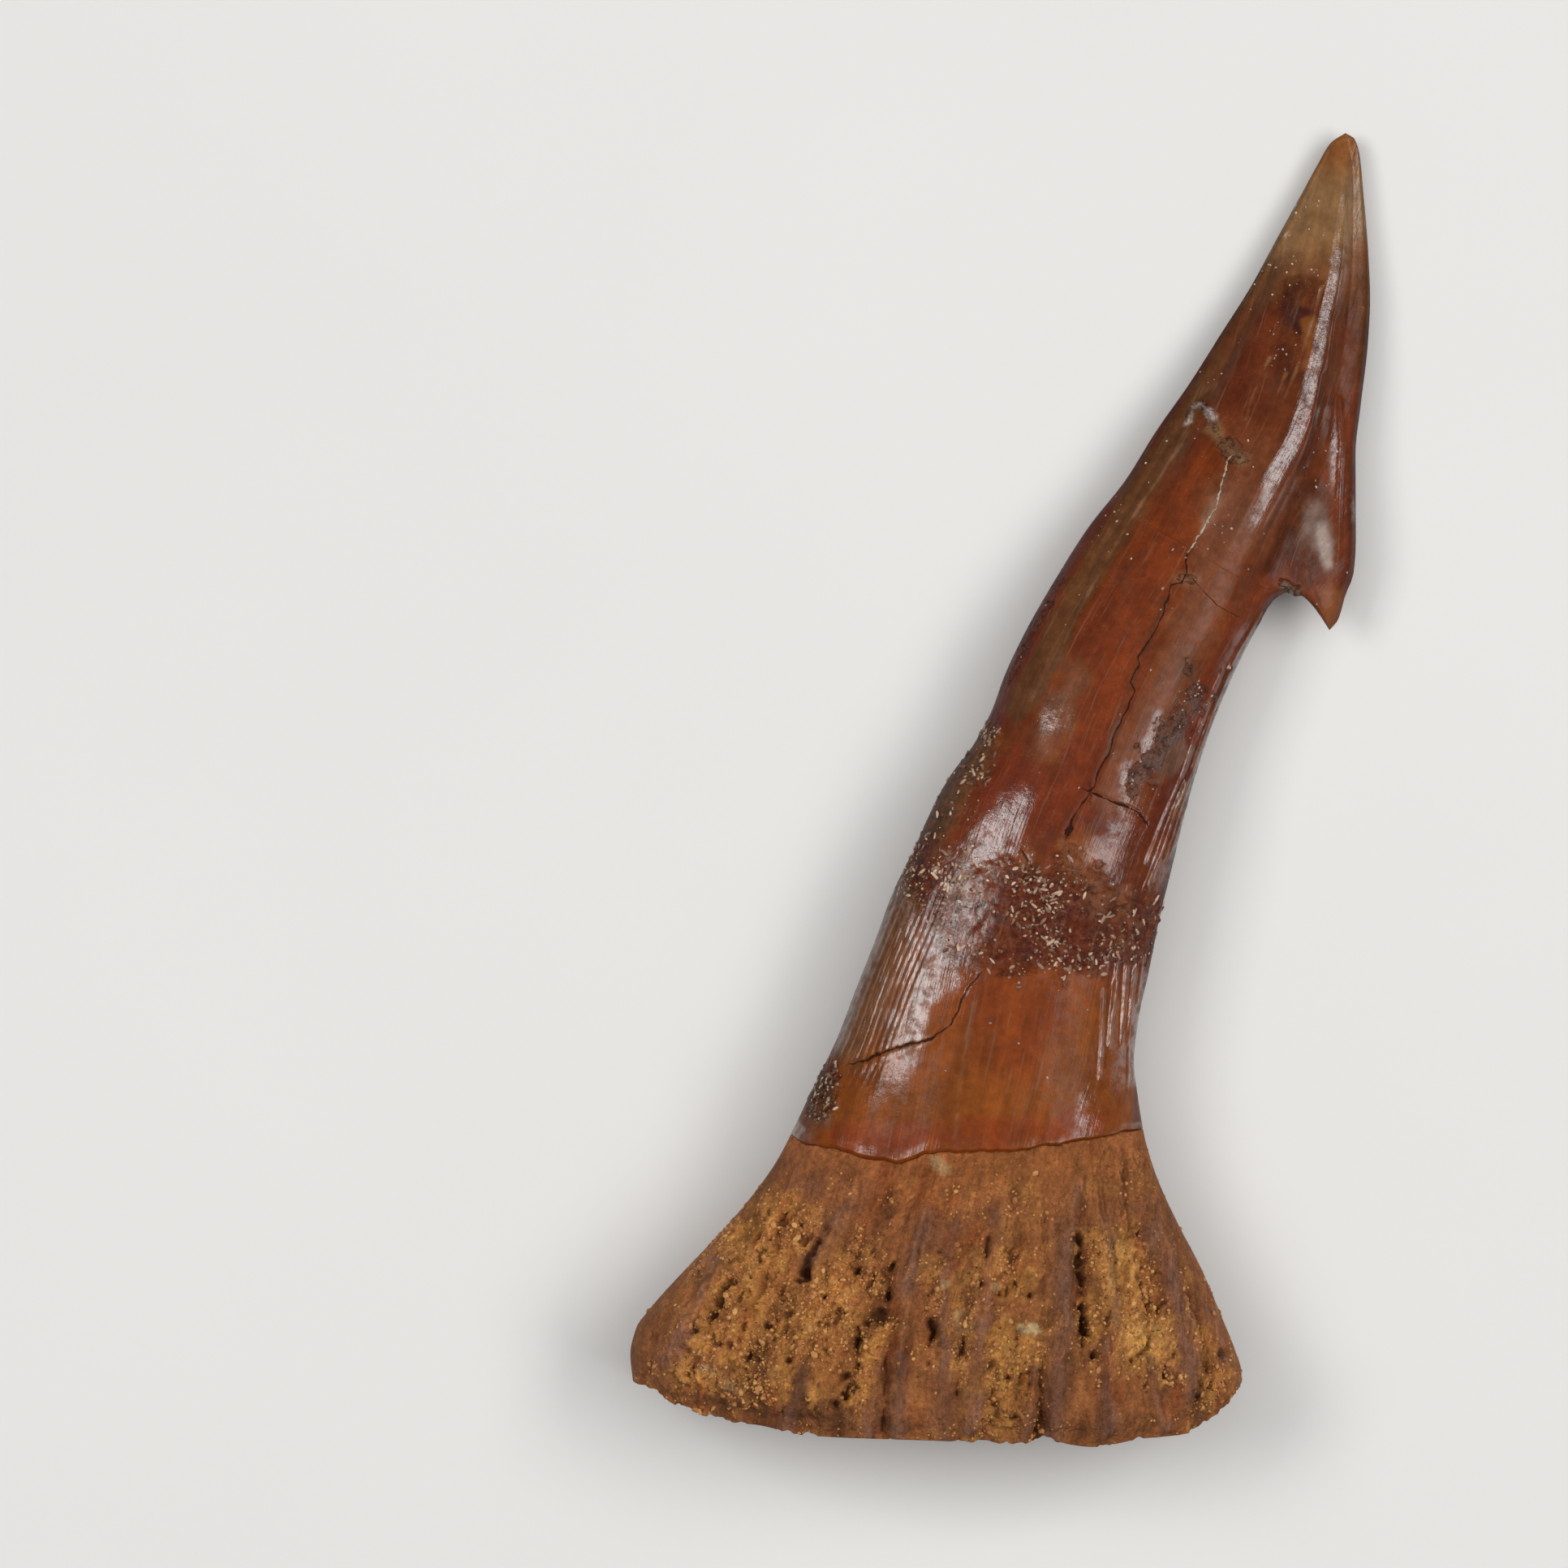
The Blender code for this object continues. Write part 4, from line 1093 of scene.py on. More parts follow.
    def ground(self, patch: Patch, wander: Field) -> Field:
        """Mix the colours that follow each other up the crown.

        Args:
            patch: The crown's points on one face.
            wander: An uneven field for their edges.

        Returns:
            The colours, as linear red, green and blue.
        """
        level = patch.y + 0.5 * wander
        heights = [height for height, _ in self.steps]
        channels = [np.interp(level, heights, [colour[k] for _, colour in self.steps]) for k in range(3)]
        return np.stack(channels, axis=-1)

    def lay(self, patch: Patch, fields: dict[str, Field]) -> tuple[Field, Field]:
        """Colour the crown and polish it.

        Args:
            patch: The crown's points on one face.
            fields: The crown's relief fields.

        Returns:
            The colours, as linear red, green and blue, and the gloss.
        """
        seed = 500 if patch.is_top else 600
        wander = patch.lumps(seed, 1.0, 4)
        colour = self.ground(patch, wander)
        # Painted highlights: pale thin lines along the crests of the flank ridges.
        lines = tuple(Tint(self.ridge_highlight_colour, ridge.path, 0.005, 0.055, 0.6,
                           0.05) for ridge in CrownRelief().ridges)
        for tint in self.tints + lines:
            colour = tint.lay(colour, patch, wander)
        streak = patch.lumps(seed + 1, 0.8, 3, 0.12)
        colour = colour * (1 + self.streak_shade * streak[..., None])
        fine = patch.lumps(seed + 2, 0.35, 3, 0.5)
        edge = patch.y + 0.4 * fine + 0.3 * streak - 0.9 * ease(14.6, 15.6, patch.x)
        to_beige = ease(self.beige_start - 1.1, self.beige_start + 1.3, edge)
        to_tip = ease(self.tip_start - 1.2, self.tip_start + 0.8, patch.y + 0.2 * fine)
        colour = blend(blend(colour, self.beige, to_beige), self.tip_colour, to_tip)
        gloss = np.full_like(patch.x, self.plain_gloss if patch.is_top else self.under_gloss)
        for tint in self.glosses:
            gloss = tint.lay(gloss, patch, wander)
        gloss = blend(gloss, self.tip_gloss, to_beige)
        gloss = blend(gloss, self.edge_gloss + 0.6 * wander, ease(1.09, 1.05, patch.s))
        gloss = blend(gloss, self.matrix_gloss, fields["matrix"] * ease(-0.9, 0.9, patch.x))
        # Painted shade: the colours grow darker towards both side edges, as sides in shade would be.
        rim = ease(0.0, 0.09, patch.q) * ease(1.0, 0.93, patch.q)
        colour = colour * (1 - self.painted_rim_shade * (1 - rim))[..., None] - np.array(self.room)
        gloss = gloss * (1 - 0.2 * fields["crust"])
        return np.clip(colour, DARKEST, BRIGHTEST), np.clip(gloss, 0, 1)


@dataclass(frozen=True)
class RootColours:
    """The bone's colours: tan, ochre sand, pink crests that are partly painted sheen, and cream spots, with
    painted shade in the relief's hollows.
    """

    base: Colour = (0.28, 0.098, 0.031)
    band: Colour = (0.335, 0.11, 0.032)
    ochre: Colour = (0.54, 0.24, 0.056)
    dark: Colour = (0.06, 0.018, 0.007)
    crest: Colour = (0.225, 0.096, 0.056)
    rust: Colour = (0.26, 0.066, 0.016)
    ochre_share: float = 0.75
    rust_share: float = 0.65
    crest_share: float = 0.75
    painted_valley_shade: float = 0.5
    painted_hollow_shade: float = 0.9
    tints: tuple[Tint, ...] = (
        Tint((0.3, 0.098, 0.032), ((-8.6, -17.2), (-5.2, -17.8), (-2.4, -18.4)), 1.3, 1.0, 0.7),
        Tint((0.45, 0.165, 0.042), ((-9.8, -19.6), (-12.4, -22.6), (-8.0, -22.0), (-7.6, -24.6)), 1.9, 0.9,
             0.75),
        Tint((0.22, 0.08, 0.03), ((-13.8, -26.0), (-9.8, -27.4), (-5.0, -27.8)), 0.9, 0.7, 0.75),
        Tint((0.21, 0.076, 0.03), ((-2.6, -19.8), (-2.0, -23.4), (-2.4, -27.4)), 1.0, 0.8, 0.6),
        Tint((0.4, 0.172, 0.038), ((0.6, -24.2), (0.2, -25.8), (-0.4, -27.0)), 0.8, 0.7, 0.8),
        Tint((0.72, 0.37, 0.1), ((5.0, -20.6), (5.6, -22.4), (6.2, -24.2)), 0.9, 0.7, 0.85),
        Tint((0.29, 0.125, 0.036), ((3.8, -19.6), (3.6, -22.6)), 0.6, 0.5, 0.6),
        Tint((0.185, 0.068, 0.028), ((7.0, -19.6), (8.0, -23.6), (7.6, -26.8)), 0.7, 0.7, 0.65),
        Tint((0.18, 0.07, 0.032), ((2.6, -19.6), (2.4, -24.6), (2.0, -28.0)), 0.6, 0.5, 0.65),
        Tint((0.29, 0.085, 0.02), ((-5.6, -17.9), (-3.6, -17.9)), 0.5, 0.5, 0.6),
        Tint((0.27, 0.09, 0.024), ((-4.2, -16.9), (0.6, -16.6), (4.4, -16.2)), 0.5, 0.5, 0.6),
        Tint((0.45, 0.3, 0.15), ((-13.2, -25.6), (-12.9, -25.7)), 0.16, 0.12, 0.9, 0.22),
        Tint((0.45, 0.3, 0.15), ((-12.2, -26.0), (-11.6, -26.4)), 0.22, 0.12, 0.9, 0.25),
        Tint((0.4, 0.25, 0.12), ((-10.2, -25.6),), 0.18, 0.12, 0.6, 0.25),
        Tint((0.42, 0.24, 0.09), ((-9.6, -22.7),), 0.2, 0.12, 0.7, 0.25),
        Tint((0.4, 0.24, 0.11), ((-15.8, -25.9),), 0.2, 0.15, 0.6, 0.2),
        Tint((0.42, 0.26, 0.12), ((-3.1, -16.3), (-2.5, -16.8)), 0.2, 0.15, 0.7, 0.25),
        Tint((0.52, 0.37, 0.19), ((0.85, -23.6), (1.35, -23.7)), 0.24, 0.1, 0.95, 0.15),
        Tint((0.44, 0.29, 0.13), ((-0.35, -21.9),), 0.18, 0.12, 0.8, 0.2),
        Tint((0.44, 0.29, 0.13), ((-2.0, -23.1), (-1.7, -23.6)), 0.18, 0.15, 0.7, 0.25),
        Tint((0.44, 0.29, 0.13), ((0.0, -23.2),), 0.2, 0.12, 0.7, 0.2),
        Tint((0.38, 0.23, 0.09), ((0.2, -24.6),), 0.22, 0.15, 0.6, 0.2),
        Tint((0.44, 0.28, 0.13), ((-2.6, -21.7),), 0.14, 0.1, 0.7, 0.2),
    )

    def lay(self, patch: Patch, fields: dict[str, Field]) -> Field:
        """Colour the root.

        Args:
            patch: The root's points on one face.
            fields: The root's relief fields.

        Returns:
            The colours, as linear red, green and blue.
        """
        seed = 700 if patch.is_top else 800
        wander = patch.lumps(seed, 0.9, 4)
        colour = np.zeros(patch.x.shape + (3,)) + np.array(self.base)
        colour = blend(colour, self.band, ease(0.72, 0.92, patch.s + 0.06 * wander))
        for tint in self.tints:
            colour = tint.lay(colour, patch, wander)
        sandy = fields["grit"] * ease(-0.5, 0.4, patch.lumps(seed + 1, 0.5, 3))
        stain = ease(0.15, 0.9, patch.lumps(seed + 4, 0.8, 4, 0.5))
        # Partly the crests' own pinkish grey, partly a painted sheen on the flutes' crests.
        crest = fields["polish"] ** 2 * ease(-0.6, 0.4, wander)
        for target, share in ((self.ochre, self.ochre_share * sandy), (self.rust, self.rust_share * stain),
                              (self.crest, self.crest_share * crest)):
            colour = blend(colour, target, share)
        streak = Lumps(seed + 2, 0.7, 3).at(patch.fan, patch.length * 0.12)
        speckle = patch.lumps(seed + 3, 0.18, 2, 0.6)
        pale = 0.16 * fields["crumb"] * (0.3 + 0.7 * fields["grit"])
        colour = colour * (1 + 0.16 * streak + 0.12 * speckle + pale)[..., None]
        # Painted shade: the colour darkens in the relief's low valleys and in its slits, pits and pores.
        colour = blend(colour, self.dark, self.painted_valley_shade * fields["valley"])
        colour = blend(colour, self.dark, self.painted_hollow_shade * ease(0.2, 0.85, fields["hollow"]))
        return np.clip(colour, DARKEST, BRIGHTEST)


@dataclass(frozen=True)
class Layout:
    """Lays out both faces of the tooth as rows and columns of points."""

    outline: Outline = field(default_factory=Outline)
    sections: Sections = field(default_factory=Sections)

    def column_places(self, counts: tuple[int, int]) -> Field:
        """Space the columns, closer together near both edges.

        Args:
            counts: How many cells lie left and right of the foot line.

        Returns:
            The columns, from 0 to 1.
        """
        foot = self.outline.foot_column
        i = np.arange(counts[0] + 1) / counts[0]
        j = np.arange(1, counts[1] + 1) / counts[1]
        left = foot * (0.6 * i + 0.4 * (1 - np.cos(i * np.pi / 2)))
        right = foot + (1 - foot) * (0.7 * j + 0.3 * np.sin(j * np.pi / 2))
        return np.concatenate((left, right))

    def station_lengths(self) -> tuple[Field, Field]:
        """Measure the way up the middle of the tooth.

        Returns:
            Stations, and the length from the rim to each.
        """
        stations = np.linspace(0, self.outline.last, 1401)
        left, foot, right = self.outline.edges(stations)
        middle = 0.5 * (left + np.where(stations < self.outline.notch, right, foot))
        steps = np.hypot(*np.diff(middle, axis=1))
        return stations, np.concatenate(([0], np.cumsum(steps)))

    def row_places(self, first: float, last: float, rows: int, crowding: Line) -> Field:
        """Space rows along the tooth, closer together where asked.

        Args:
            first: The first row's station.
            last: The last row's station.
            rows: How many rows.
            crowding: Pairs of the station around which rows lie closer, and by how much.

        Returns:
            The rows' stations.
        """
        stations, lengths = self.station_lengths()
        ends = np.interp((first, last), stations, lengths)
        length = np.linspace(*ends, 2000)
        weight = np.ones_like(length)
        for station, amount in crowding:
            middle = np.interp(station, stations, lengths)
            weight += amount * np.exp(-((length - middle) / 0.6) ** 2)
        total = np.concatenate(([0], np.cumsum(0.5 * (weight[1:] + weight[:-1]))))
        spaced = np.interp(np.linspace(0, total[-1], rows), total, length)
        places = np.interp(spaced, lengths, stations)
        places[0], places[-1] = first, last
        return places

    def patch(self, s: Field, q: Field, face: Face, crown: bool) -> Patch:
        """Lay out one face's bare points.

        Args:
            s: The rows' stations.
            q: The columns.
            face: The face of the tooth.
            crown: Whether these are the crown's points, or the root's.

        Returns:
            The patch.
        """
        rows = s[:, None]
        columns = q[None, :]
        plan = self.outline.crown_plan if crown else self.outline.root_plan
        x, y = plan(rows, columns, face)
        side = 1 if face is Face.TOP else -1
        z = self.sections.middle(rows) + side * self.sections.height(self.outline, rows, columns, face)
        steps = np.sqrt(np.diff(x, axis=1) ** 2 + np.diff(y, axis=1) ** 2 + np.diff(z, axis=1) ** 2)
        girth = np.concatenate((np.zeros((len(s), 1)), np.cumsum(steps, axis=1)), axis=1)
        girth = girth - girth[:, [len(q) // 2]]
        length = np.interp(rows, *self.station_lengths()) + np.zeros_like(x)
        beside = np.maximum(ease(0.09, 0.02, columns), ease(0.9, 0.97, columns)) + np.zeros_like(x)
        shown = np.ones_like(x) if face is Face.TOP else beside
        offset = 0 if face is Face.TOP else 40
        return Patch(face, rows, columns, x, y, z, girth + offset, length, shown)

    def raised(self, patch: Patch, relief: Field) -> np.ndarray:
        """Move a patch's points out along the surface's own normals.

        Args:
            patch: The bare points.
            relief: How far each point stands out, in millimetres.

        Returns:
            The points, in millimetres.
        """
        points = np.stack((patch.x, patch.y, patch.z), axis=-1)
        across = np.gradient(points, axis=1)
        up = np.gradient(points, axis=0)
        normal = np.cross(across, up) * (1 if patch.is_top else -1)
        normal /= np.linalg.norm(normal, axis=-1, keepdims=True) + 1e-9
        fade = ease(0, 0.035, patch.q) * ease(1, 0.975, patch.q)
        tip = ease(self.outline.last, self.outline.last - 0.5, patch.s)
        moved = points + normal * (relief * fade * tip)[..., None]
        if not patch.is_top:
            moved[..., 2] = np.maximum(moved[..., 2], 0)
        return moved


class Skin:
    """A closed mesh in the making: points, faces and the fields at each point."""

    def __init__(self, fields: tuple[str, ...]) -> None:
        """Start with nothing.

        Args:
            fields: The names of the number fields that the mesh bears.
        """
        self.names = fields
        self.points: list[np.ndarray] = []
        self.tints: list[np.ndarray] = []
        self.values: dict[str, list[np.ndarray]] = {name: [] for name in fields}
        self.faces: list[tuple[int, ...]] = []
        self.count = 0

    def add(self, points: np.ndarray, tints: np.ndarray, values: dict[str, np.ndarray]) -> np.ndarray:
        """Add points.

        Args:
            points: Their places, in millimetres, in any arrangement.
            tints: Their colours.
            values: Their fields.

        Returns:
            Their numbers, in the same arrangement.
        """
        shape = points.shape[:-1]
        size = int(np.prod(shape))
        self.points.append(points.reshape(-1, 3))
        self.tints.append(tints.reshape(-1, 3))
        for name in self.names:
            self.values[name].append(np.broadcast_to(values[name], shape).reshape(-1))
        numbers = np.arange(self.count, self.count + size).reshape(shape)
        self.count += size
        return numbers

    def add_rings(self, top: dict[str, Field], under: dict[str, Field]) -> np.ndarray:
        """Add rings: over the top, then back along the underside.

        Args:
            top: The upper face's points, tint and fields.
            under: The underside's.

        Returns:
            The points' numbers, one row for each ring.
        """
        joined = {name: np.concatenate((top[name], under[name][:, -2:0:-1]), axis=1)
                  for name in ("points", "tint") + self.names}
        return self.add(joined["points"], joined["tint"], joined)

    def join_rings(self, rings: np.ndarray) -> None:
        """Face the bands between rings.

        Args:
            rings: The rings' point numbers.
        """
        after = np.roll(rings, -1, axis=1)
        quads = np.stack((rings[:-1], after[:-1], after[1:], rings[1:]), axis=-1).reshape(-1, 4)
        self.faces.extend(map(tuple, quads.tolist()))

    def halves(self, ring: np.ndarray, columns: int) -> tuple[np.ndarray, np.ndarray]:
        """Part a ring into its upper and lower points, both from left to right.

        Args:
            ring: The ring's point numbers.
            columns: How many of them are on top.

        Returns:
            The upper and the lower points, which share both ends.
        """
        under = np.concatenate(([ring[0]], ring[:columns - 1:-1], [ring[columns - 1]]))
        return ring[:columns], under

    def face(self, corners: tuple[int, ...], turned: bool = False) -> None:
        """Add one face, unless its corners meet, and turn it to look up the tooth if asked."""
        order = tuple(dict.fromkeys(int(corner) for corner in corners))
        if len(order) > 2:
            self.faces.append(order[::-1] if turned else order)

    def zip_up(self, top: np.ndarray, under: np.ndarray, turned: bool) -> None:
        """Close the gap between two lines of points that share both ends.

        Args:
            top: The upper points, twice as many cells as the lower ones.
            under: The lower points.
            turned: Whether the faces look up the tooth, and not down.
        """
        for i in range(len(under) - 1):
            left, middle, right = top[2 * i], top[2 * i + 1], top[2 * i + 2]
            self.face((under[i], middle, left), turned)
            self.face((under[i], under[i + 1], middle), turned)
            self.face((under[i + 1], right, middle), turned)

    def close_hollow(self, ring: np.ndarray, columns: int, inner: np.ndarray, tint: np.ndarray,
                     values: dict[str, np.ndarray]) -> None:
        """Close the lower end with layers of points from the underside up to the top.

        Args:
            ring: The rim's ring.
            columns: How many of its points are on top.
            inner: The layers' points, without their shared ends.
            tint: Their colours.
            values: Their fields.
        """
        top, under = self.halves(ring, columns)
        numbers = self.add(inner, tint, values)
        rows = [under] + [np.concatenate(([under[0]], row, [under[-1]])) for row in numbers]
        for low, high in zip(rows[:-1], rows[1:]):
            for i in range(len(under) - 1):
                self.face((low[i], low[i + 1], high[i + 1], high[i]))
        self.zip_up(top, rows[-1], False)

    def close_tip(self, ring: np.ndarray, place: tuple[float, float, float]) -> None:
        """Close the tip on one point.

        Args:
            ring: The last ring.
            place: The tip's point, in millimetres.
        """
        tint = np.concatenate(self.tints)[ring].mean(axis=0, keepdims=True)
        values = {name: np.concatenate(self.values[name])[ring[:1]] for name in self.names}
        tip = int(self.add(np.array([place]), tint, values)[0])
        for here, after in zip(ring.tolist(), np.roll(ring, -1).tolist()):
            self.faces.append((here, after, tip))

    def to_object(self, name: str, material: bpy.types.Material) -> bpy.types.Object:
        """Make the object.

        Args:
            name: Its name.
            material: Its material.

        Returns:
            The object, linked to the scene.
        """
        points = np.concatenate(self.points) * MM
        mesh = bpy.data.meshes.new(name)
        mesh.from_pydata(points.tolist(), [], self.faces)
        mesh.shade_smooth()
        for label in self.names:
            layer = mesh.attributes.new(label, "FLOAT", "POINT")
            layer.data.foreach_set("value", np.concatenate(self.values[label]).astype(np.float32))
        tints = np.concatenate(self.tints)
        colours = np.concatenate((tints, np.ones((len(tints), 1))), axis=1)
        layer = mesh.color_attributes.new("tint", "FLOAT_COLOR", "POINT")
        layer.data.foreach_set("color", colours.astype(np.float32).reshape(-1))
        mesh.materials.append(material)
        mesh.update()
        piece = bpy.data.objects.new(name, mesh)
        bpy.context.collection.objects.link(piece)
        return piece


@dataclass(frozen=True)
class Root:
    """The root: rough bone, fluted and pitted, with a hollow end.

    Attributes:
        layout: The tooth's rows and columns.
        relief: The root's relief.
        colours: The root's colours.
        counts: Cells left and right of the foot line, on top; half as many are underneath.
        rows: How many rows it has.
        tuck: The station to which it reaches up beneath the enamel.
        pinch: How much narrower it is there, as a share.
        layers: How many layers the hollow end has.
        depth: How deep that end is, in millimetres.
    """

    layout: Layout
    relief: RootRelief = field(default_factory=RootRelief)
    colours: RootColours = field(default_factory=RootColours)
    counts: tuple[int, int] = (212, 92)
    rows: int = 188
    tuck: float = 1.03
    pinch: float = 0.08
    layers: int = 32
    depth: float = 1.9

    FIELDS = ("hollow", "polish", "grit", "sand", "girth", "length")

    def face(self, face: Face, finer: float) -> dict[str, Field]:
        """Make one face's points, tint and fields.

        Args:
            face: The face of the tooth.
            finer: How many times as many columns it has.

        Returns:
            The points, the tint and each field, by name.
        """
        counts = (round(self.counts[0] * finer), round(self.counts[1] * finer))
        rows = self.layout.row_places(0, self.tuck, self.rows, ((0, 1.6), (1.0, 0.8)))
        patch = self.layout.patch(rows, self.layout.column_places(counts), face, False)
        fields = self.relief.fields(patch)
        points = self.layout.raised(patch, fields["relief"])
        centre = 0.5 * (points[:, :1] + points[:, -1:])
        points = points + (centre - points) * self.pinch * ease(0.994, 1.012, patch.s)[..., None]
        return {"points": points, "girth": patch.girth, "length": patch.length,
                "tint": self.colours.lay(patch, fields), **fields}

    def hollow(self, skin: Skin, ring: np.ndarray, columns: int) -> None:
        """Close the lower end with its rough, ribbed hollow.

        Args:
            skin: The root's skin so far.
            ring: The rim's ring.
            columns: How many of its points are on top.
        """
        points = np.concatenate(skin.points)
        top, under = skin.halves(ring, columns)
        upper, lower = points[top[::2]], points[under]
        share = (np.arange(len(under)) / (len(under) - 1))[None, :]
        v = (np.arange(1, self.layers) / self.layers)[:, None]
        inner = lower[None] + (upper - lower)[None] * v[..., None]
        deep = (4 * v * (1 - v)) ** 0.7 * ease(0, 0.16, share) * ease(1, 0.86, share)
        x, z = inner[..., 0], inner[..., 2]
        ribs = Lumps(901, 1.1, 3).at(x, z * 0.25)
        sand = Lumps(902, 0.35, 3).at(x, z)
        inner[..., 1] += self.depth * deep + (0.16 * ribs + 0.08 * sand) * deep ** 0.5
        # Painted shade: the tint darkens deeper into the hollow end.
        shade = (0.85 + 0.22 * ribs + 0.18 * sand) * (1 - 0.25 * deep)
        tint = np.clip(np.array(self.colours.base) * shade[..., None], 0.003, 0.9)
        clear = ease(0.25, 0.6, z) * ease(9.8, 9.4, z)
        values = {"hollow": 0.0, "polish": 0.0, "grit": 0.6, "sand": (clear * (0.25 + 0.25 * sand))[:, 1:-1],
                  "girth": x[:, 1:-1], "length": z[:, 1:-1] - 20}
        skin.close_hollow(ring, columns, inner[:, 1:-1], tint[:, 1:-1], values)

    def build(self, material: bpy.types.Material) -> bpy.types.Object:
        """Make the root as one closed mesh.

        Args:
            material: Its bone.

        Returns:
            The root's object.
        """
        top, under = self.face(Face.TOP, 1.0), self.face(Face.UNDER, 0.5)
        skin = Skin(self.FIELDS)
        rings = skin.add_rings(top, under)
        skin.join_rings(rings)
        columns = top["points"].shape[1]
        self.hollow(skin, rings[0], columns)
        skin.zip_up(*skin.halves(rings[-1], columns), True)
        return skin.to_object("root_bone", material)


@dataclass(frozen=True)
class Crown:
    """The crown: glossy enamel, with the barb, over the root's neck.

    Attributes:
        layout: The tooth's rows and columns.
        relief: The crown's relief.
        colours: The crown's colours.
        counts: Cells left and right of the foot line, on top; half as many are underneath.
        rows: How many rows it has.
        last_row: The last row's station, just short of the tip.
        neck_crust: The line of the grainy crust beside the root.
    """

    layout: Layout
    relief: CrownRelief = field(default_factory=CrownRelief)
    colours: CrownColours = field(default_factory=CrownColours)
    counts: tuple[int, int] = (106, 46)
    rows: int = 428
    last_row: float = 13.985
    neck_crust: Line = ((-7.6, -12.6), (-7.9, -14.2))

    FIELDS = ("gloss", "crack", "crack_near", "crack_fill", "crust", "matrix", "grain", "dust", "girth",
              "length")

    def face(self, face: Face, finer: float) -> dict[str, Field]:
        """Make one face's points, tint and fields.

        Args:
            face: The face of the tooth.
            finer: How many times as many columns it has.

        Returns:
            The points, the tint and each field, by name.
        """
        counts = (round(self.counts[0] * finer), round(self.counts[1] * finer))
        crowding = ((1.0, 2.5), (3.2, 0.6), (3.5, 0.6), (13.9, 1.5))
        rows = self.layout.row_places(1.0, self.last_row, self.rows, crowding)
        for station in (self.layout.outline.notch, self.layout.outline.barb_tip):
            rows[np.argmin(np.abs(rows - station))] = station
        patch = self.layout.patch(rows, self.layout.column_places(counts), face, True)
        fields = self.relief.fields(patch)
        tint, gloss = self.colours.lay(patch, fields)
        clumps = Lumps(41, 1.5, 4).at(patch.girth, patch.length)
        neck_crust = 0.6 * ease(0.9, 0.3, line_distance(patch.x, patch.y, self.neck_crust)) * patch.shown
        grain = fields["matrix"] * (0.06 + 0.94 * ease(-0.35, 0.55, clumps))
        fields["grain"] = np.maximum(grain, neck_crust)
        return {"points": self.layout.raised(patch, fields["relief"]), "girth": patch.girth,
                "length": patch.length, "tint": tint, "gloss": gloss, "dust": self.dust(patch), **fields}

    def dust(self, patch: Patch) -> Field:
        """Tell where pale specks cling: the upper crown, its left margin and beside the crack.

        Args:
            patch: The crown's points on one face.

        Returns:
            How thickly the specks lie, from 0 to 1.
        """
        places = (
            Tint(1.0, ((13.2, 25.2), (13.6, 23.4), (13.9, 22.4)), 0.7, 0.5),
            Tint(1.0, ((13.0, 23.0), (12.0, 21.0), (12.6, 19.4)), 1.2, 0.8, 0.7),
            Tint(0.45, ((11.4, 21.2), (8.2, 16.4), (5.4, 12.4), (2.4, 7.4)), 0.8, 0.6, 0.8),
            Tint(0.45, ((9.9, 14.6), (9.2, 11.4), (8.0, 9.4)), 0.9, 0.8, 0.7),
            Tint(0.5, ((14.0, 16.0), (14.8, 9.0)), 0.5, 0.4, 0.8),
            Tint(1.0, ((4.8, -0.4), (6.0, -1.4)), 0.5, 0.3),
            Tint(1.0, ((8.6, 3.8), (7.4, 2.4), (5.9, 0.4)), 0.6, 0.3, 1.0, 0.6),
            Tint(0.8, ((-7.7, -12.7), (-8.0, -14.2)), 0.5, 0.3),
            Tint(0.8, ((-1.0, -2.0), (-2.6, -5.0)), 1.2, 0.8),
        )
        amount = np.full_like(patch.x, 0.03)
        wander = Lumps(31, 0.8, 3).at(patch.girth, patch.length)
        for place in places:
            amount = place.lay(amount, patch, wander)
        clumps = 0.25 + 0.75 * ease(-0.25, 0.45, Lumps(33, 1.1, 4).at(patch.girth, patch.length))
        return amount * clumps * ease(1.1, 1.3, patch.s) * ease(0.2, 0.6, patch.z)

    def build(self, material: bpy.types.Material) -> bpy.types.Object:
        """Make the crown as one closed mesh.

        Args:
            material: Its enamel.

        Returns:
            The crown's object.
        """
        top, under = self.face(Face.TOP, 1.0), self.face(Face.UNDER, 0.5)
        skin = Skin(self.FIELDS)
        rings = skin.add_rings(top, under)
        skin.join_rings(rings)
        skin.zip_up(*skin.halves(rings[0], top["points"].shape[1]), False)
        tip = self.layout.outline.left_edge[-1] + (self.layout.sections.middle_height[-1],)
        skin.close_tip(rings[-1], tip)
        return skin.to_object("crown_enamel", material)


def add_node(tree: bpy.types.NodeTree, kind: str, inputs: dict[str | int, object],
             settings: dict[str, object]) -> bpy.types.Node:
    """Add a node to a tree.

    Args:
        tree: The tree.
        kind: The node's type.
        inputs: Its inputs, each a socket to join or a plain value.
        settings: Its settings.

    Returns:
        The node.
    """
    node = tree.nodes.new(kind)
    for name, value in settings.items():
        setattr(node, name, value)
    for name, value in inputs.items():
        if isinstance(value, bpy.types.NodeSocket):
            tree.links.new(value, node.inputs[name])
        else:
            node.inputs[name].default_value = value
    return node


